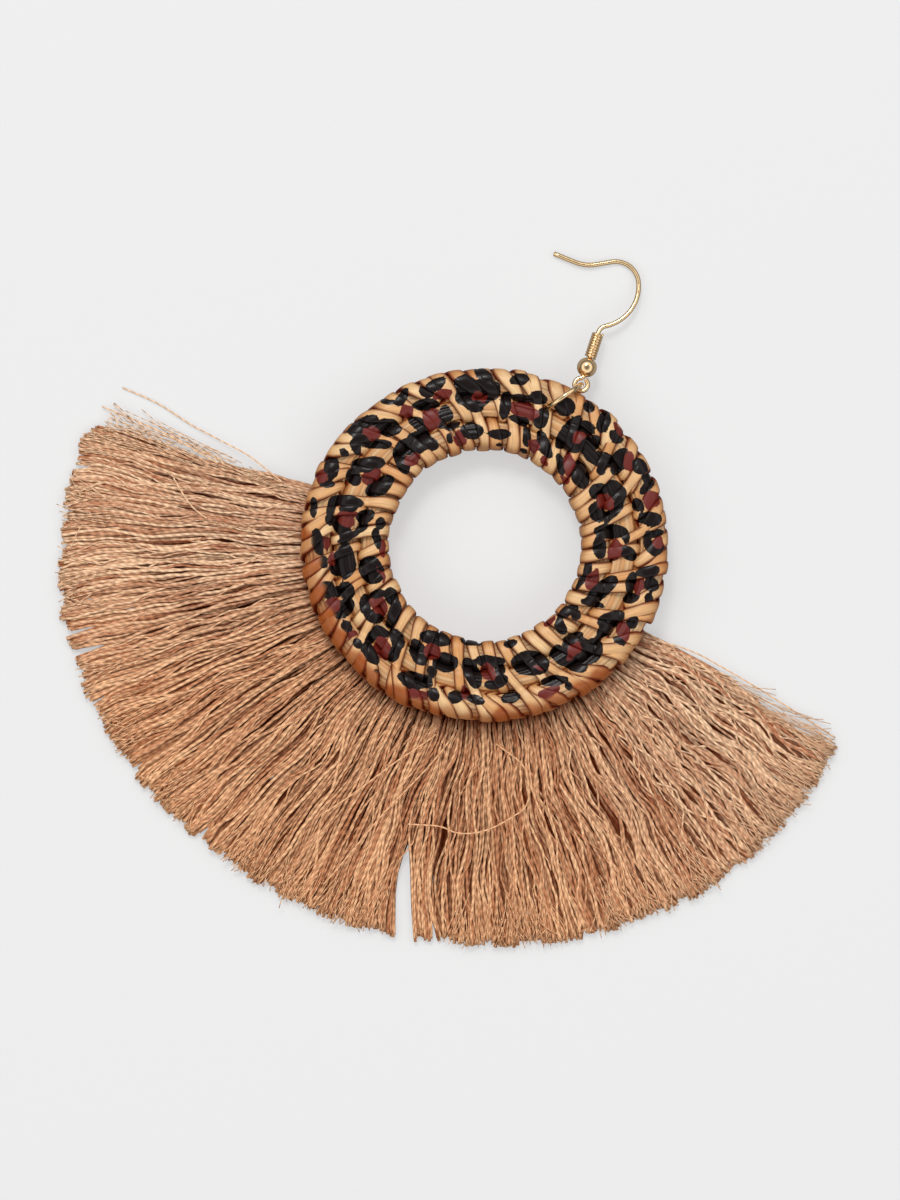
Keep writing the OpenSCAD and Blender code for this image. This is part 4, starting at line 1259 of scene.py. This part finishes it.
def floor_material(settings):
    """Opal acrylic sheet, lit from behind as well as from above."""
    # The glow evens out the shadows on the floor. Only the camera sees it, so it lights nothing.
    material = bpy.data.materials.new("opal_acrylic_backlit")
    tree = new_tree(material)
    seen = add_node(tree, "LightPath", output="Is Camera Ray")
    glow = add_node(tree, "Math", {0: seen, 1: settings.glow}, operation="MULTIPLY")
    sheet = add_node(tree, "BsdfPrincipled", {"Base Color": settings.floor, "Roughness": 0.9,
                                              "Specular IOR Level": 0.1,
                                              "Emission Color": linear("#ffffff"),
                                              "Emission Strength": glow})
    add_node(tree, "OutputMaterial", {"Surface": sheet})
    return material


# Stage

def lay_floor(settings, collection):
    """A plain pale floor."""
    corners = [(x * FLOOR_HALF, y * FLOOR_HALF, 0) for x, y in ((-1, -1), (1, -1), (1, 1), (-1, 1))]
    mesh = bpy.data.meshes.new("floor")
    mesh.from_pydata(corners, [], [(0, 1, 2, 3)])
    mesh.materials.append(floor_material(settings))
    floor = bpy.data.objects.new("floor", mesh)
    collection.objects.link(floor)


def soft_room():
    """A room that is bright at mid height all round, and dim straight above and low down."""
    world = bpy.data.worlds.new("soft_room")
    tree = new_tree(world)
    where = add_node(tree, "TexCoord", output="Generated")
    height = add_node(tree, "SeparateXYZ", {0: where}, "Z")
    walls = add_node(tree, "MapRange", {"Value": height, "From Min": 0.3, "From Max": 0.55,
                                        "To Min": 0.2, "To Max": 1.47},
                     interpolation_type="SMOOTHSTEP")
    ceiling = add_node(tree, "MapRange", {"Value": height, "From Min": 0.75, "From Max": 0.95,
                                          "To Min": 1.0, "To Max": 0.2},
                       interpolation_type="SMOOTHSTEP")
    strength = add_node(tree, "Math", {0: walls, 1: ceiling}, operation="MULTIPLY")
    light = add_node(tree, "Background", {"Strength": strength})
    add_node(tree, "OutputWorld", {"Surface": light})
    return world


def hang_window(collection):
    """A round soft light from the upper left, aimed at the part."""
    lamp = bpy.data.lights.new("window", "AREA")
    lamp.shape = "DISK"
    lamp.size = 0.5
    lamp.energy = 9.0
    window = bpy.data.objects.new("window", lamp)
    window.location = WINDOW_PLACE
    window.rotation_euler = (-Vector(WINDOW_PLACE)).to_track_quat("-Z", "Y").to_euler()
    collection.objects.link(window)


def set_camera(settings, collection):
    """A camera that looks straight down at the part."""
    camera = bpy.data.cameras.new("camera")
    # The sensor's width is the image's long side
    camera.sensor_width = SENSOR
    camera.lens = SENSOR * settings.distance / (settings.view_width * IMAGE_H / IMAGE_W)
    view = bpy.data.objects.new("camera", camera)
    view.location = (VIEW_CENTRE[0] * MM, VIEW_CENTRE[1] * MM, settings.distance)
    view.rotation_euler = (0, 0, settings.turn)
    collection.objects.link(view)
    return view


# Settings

def length(name, text, default):
    """A length that the user can change, from a default in millimetres."""
    return bpy.props.FloatProperty(name=name, description=text, default=default * MM, min=0,
                                   unit="LENGTH", precision=5)


def colour(name, text, code):
    """A colour that the user can change, from an sRGB hex code."""
    return bpy.props.FloatVectorProperty(name=name, description=text, default=linear(code),
                                         size=4, min=0, max=1, subtype="COLOR")


class CaneSettings(bpy.types.PropertyGroup):
    cane_width: length("Cane width", "Width of one thin cane of a hoop", 0.85)
    strip_thickness: length("Strip thickness", "Thickness of the binding strips", 0.6)
    inner_strip_width: length("Inner strip width", "Width of the strips over the inner hoops", 1.5)
    outer_strip_width: length("Outer strip width", "Width of the strips over the outer hoops", 1.4)
    rim_wrap_width: length("Rim wrap width", "Width of the short wraps at the rim", 1.5)
    hole_wrap_width: length("Hole wrap width", "Width of the short wraps at the hole", 1.55)
    cane_light: colour("Light cane", "Palest cane on the front", "#fdd59f")
    cane_dark: colour("Dark cane", "Darkest cane on the front", "#e39b57")
    # The bare colours are partly unprinted cane and partly painted shade on the sides
    bare_light: colour("Light bare cane", "Palest cane at the sides and back", "#ecb478")
    bare_dark: colour("Dark bare cane", "Darkest cane at the sides and back", "#ae6226")
    # A darker orange-brown tint on the rim
    rim_tint: colour("Rim stain", "Stain that gathers on the rim", "#aa5210")
    # Colour of the painted shade and red-brown stain between the strips
    crevice_stain_and_shade: colour("Crevice", "Stain between the strips", "#641804")
    ink: colour("Black ink", "Black of the print", "#1b1312")
    wine: colour("Wine ink", "Dark red of the print", "#6e1d12")


class YarnSettings(bpy.types.PropertyGroup):
    strand_diameter: length("Strand diameter", "Diameter of one strand of yarn", 0.42)
    thread_diameter: length("Thread diameter", "Diameter of the thread that binds the head", 0.4)
    yarn_pale: colour("Pale yarn", "Yarn at the two ends of the fan", "#ffd4ab")
    yarn_warm: colour("Warm yarn", "Yarn in the middle of the fan", "#fcc391")
    yarn_brown: colour("Brown yarn", "Darker strands among the others", "#b7683a")
    # Colour of the painted shade on strands deep in the fan and under the ring
    yarn_deep: colour("Deep yarn", "Strands deep in the fan and under the ring", "#66260a")
    # Painted highlight and painted shade on the thread's turns
    thread_highlight: colour("Light thread", "Bright side of the thread", "#f2e0b0")
    thread_shade: colour("Dark thread", "Shaded side of the thread", "#b8935a")


class MetalSettings(bpy.types.PropertyGroup):
    gilt: colour("Gilt", "Colour of the gold plating", "#f1d0a0")


class StageSettings(bpy.types.PropertyGroup):
    floor: colour("Floor", "Colour of the floor", "#a9a9a9")
    glow: bpy.props.FloatProperty(name="Floor glow", description="Brightness of the lit floor",
                                  default=0.45, min=0)
    view_width: length("View width", "Width that the camera shows", 122.5)
    distance: length("Camera distance", "Height of the camera", 1200)
    turn: bpy.props.FloatProperty(name="Camera turn", description="Turn of the view",
                                  default=math.radians(24), subtype="ANGLE")


class TasselEarringSettings(bpy.types.PropertyGroup):
    cane: bpy.props.PointerProperty(type=CaneSettings)
    yarn: bpy.props.PointerProperty(type=YarnSettings)
    metal: bpy.props.PointerProperty(type=MetalSettings)
    stage: bpy.props.PointerProperty(type=StageSettings)


# Operators

class EARRING_OT_cane_ring(bpy.types.Operator):
    """Build the hoops of thin canes and the printed strips that bind them"""
    bl_idname = "earring.cane_ring"
    bl_label = "Cane Ring"

    def execute(self, context):
        settings = context.scene.tassel_earring.cane
        rng = np.random.default_rng(SEED)
        material = cane_material(settings)
        for key in HOOPS:
            hoop_piece(key, settings, material, rng)
        binding_pieces(settings, material, rng)
        return {"FINISHED"}


class EARRING_OT_fringe(bpy.types.Operator):
    """Build the fan of yarn in layers of strands, with its looped and bound head"""
    bl_idname = "earring.fringe"
    bl_label = "Yarn Fan"

    def execute(self, context):
        settings = context.scene.tassel_earring.yarn
        rng = np.random.default_rng(SEED + 1)
        yarn = yarn_material(settings)
        fringe_pieces(settings, yarn, rng)
        head_loops(settings, yarn, rng)
        head_twining(settings, thread_material(settings))
        return {"FINISHED"}


class EARRING_OT_ear_wire(bpy.types.Operator):
    """Build the jump ring and the ear wire with its eye, coil and ball"""
    bl_idname = "earring.ear_wire"
    bl_label = "Ear Wire"

    def execute(self, context):
        material = gilt_material(context.scene.tassel_earring.metal)
        for make in (ear_wire_piece, coil_piece, ball_piece, jump_ring_piece):
            make(material)
        return {"FINISHED"}


class EARRING_OT_stage(bpy.types.Operator):
    """Set up the floor, the soft light and the camera"""
    bl_idname = "earring.stage"
    bl_label = "Stage"

    def execute(self, context):
        scene = context.scene
        settings = scene.tassel_earring.stage
        scene.view_settings.view_transform = "Standard"
        scene.view_settings.look = "None"
        lay_floor(settings, scene.collection)
        scene.world = soft_room()
        hang_window(scene.collection)
        scene.camera = set_camera(settings, scene.collection)
        return {"FINISHED"}


OPERATORS = [EARRING_OT_cane_ring, EARRING_OT_fringe, EARRING_OT_ear_wire, EARRING_OT_stage]


class EARRING_PT_panel(bpy.types.Panel):
    """Lists the steps that build the earring"""
    bl_label = "Tassel Earring"
    bl_idname = "EARRING_PT_panel"
    bl_space_type = "VIEW_3D"
    bl_region_type = "UI"
    bl_category = "Earring"

    def draw(self, context):
        for operator in OPERATORS:
            self.layout.operator(operator.bl_idname)
        settings = context.scene.tassel_earring
        for group in (settings.cane, settings.yarn, settings.metal, settings.stage):
            box = self.layout.box()
            for name in type(group).__annotations__:
                box.prop(group, name)


CLASSES = [CaneSettings, YarnSettings, MetalSettings, StageSettings, TasselEarringSettings,
           *OPERATORS, EARRING_PT_panel]


def register():
    for cls in CLASSES:
        bpy.utils.register_class(cls)
    bpy.types.Scene.tassel_earring = bpy.props.PointerProperty(type=TasselEarringSettings)


def unregister():
    del bpy.types.Scene.tassel_earring
    for cls in reversed(CLASSES):
        bpy.utils.unregister_class(cls)


def main():
    register()
    bpy.ops.earring.cane_ring()
    bpy.ops.earring.fringe()
    bpy.ops.earring.ear_wire()
    bpy.ops.earring.stage()


if __name__ == "__main__":
    main()
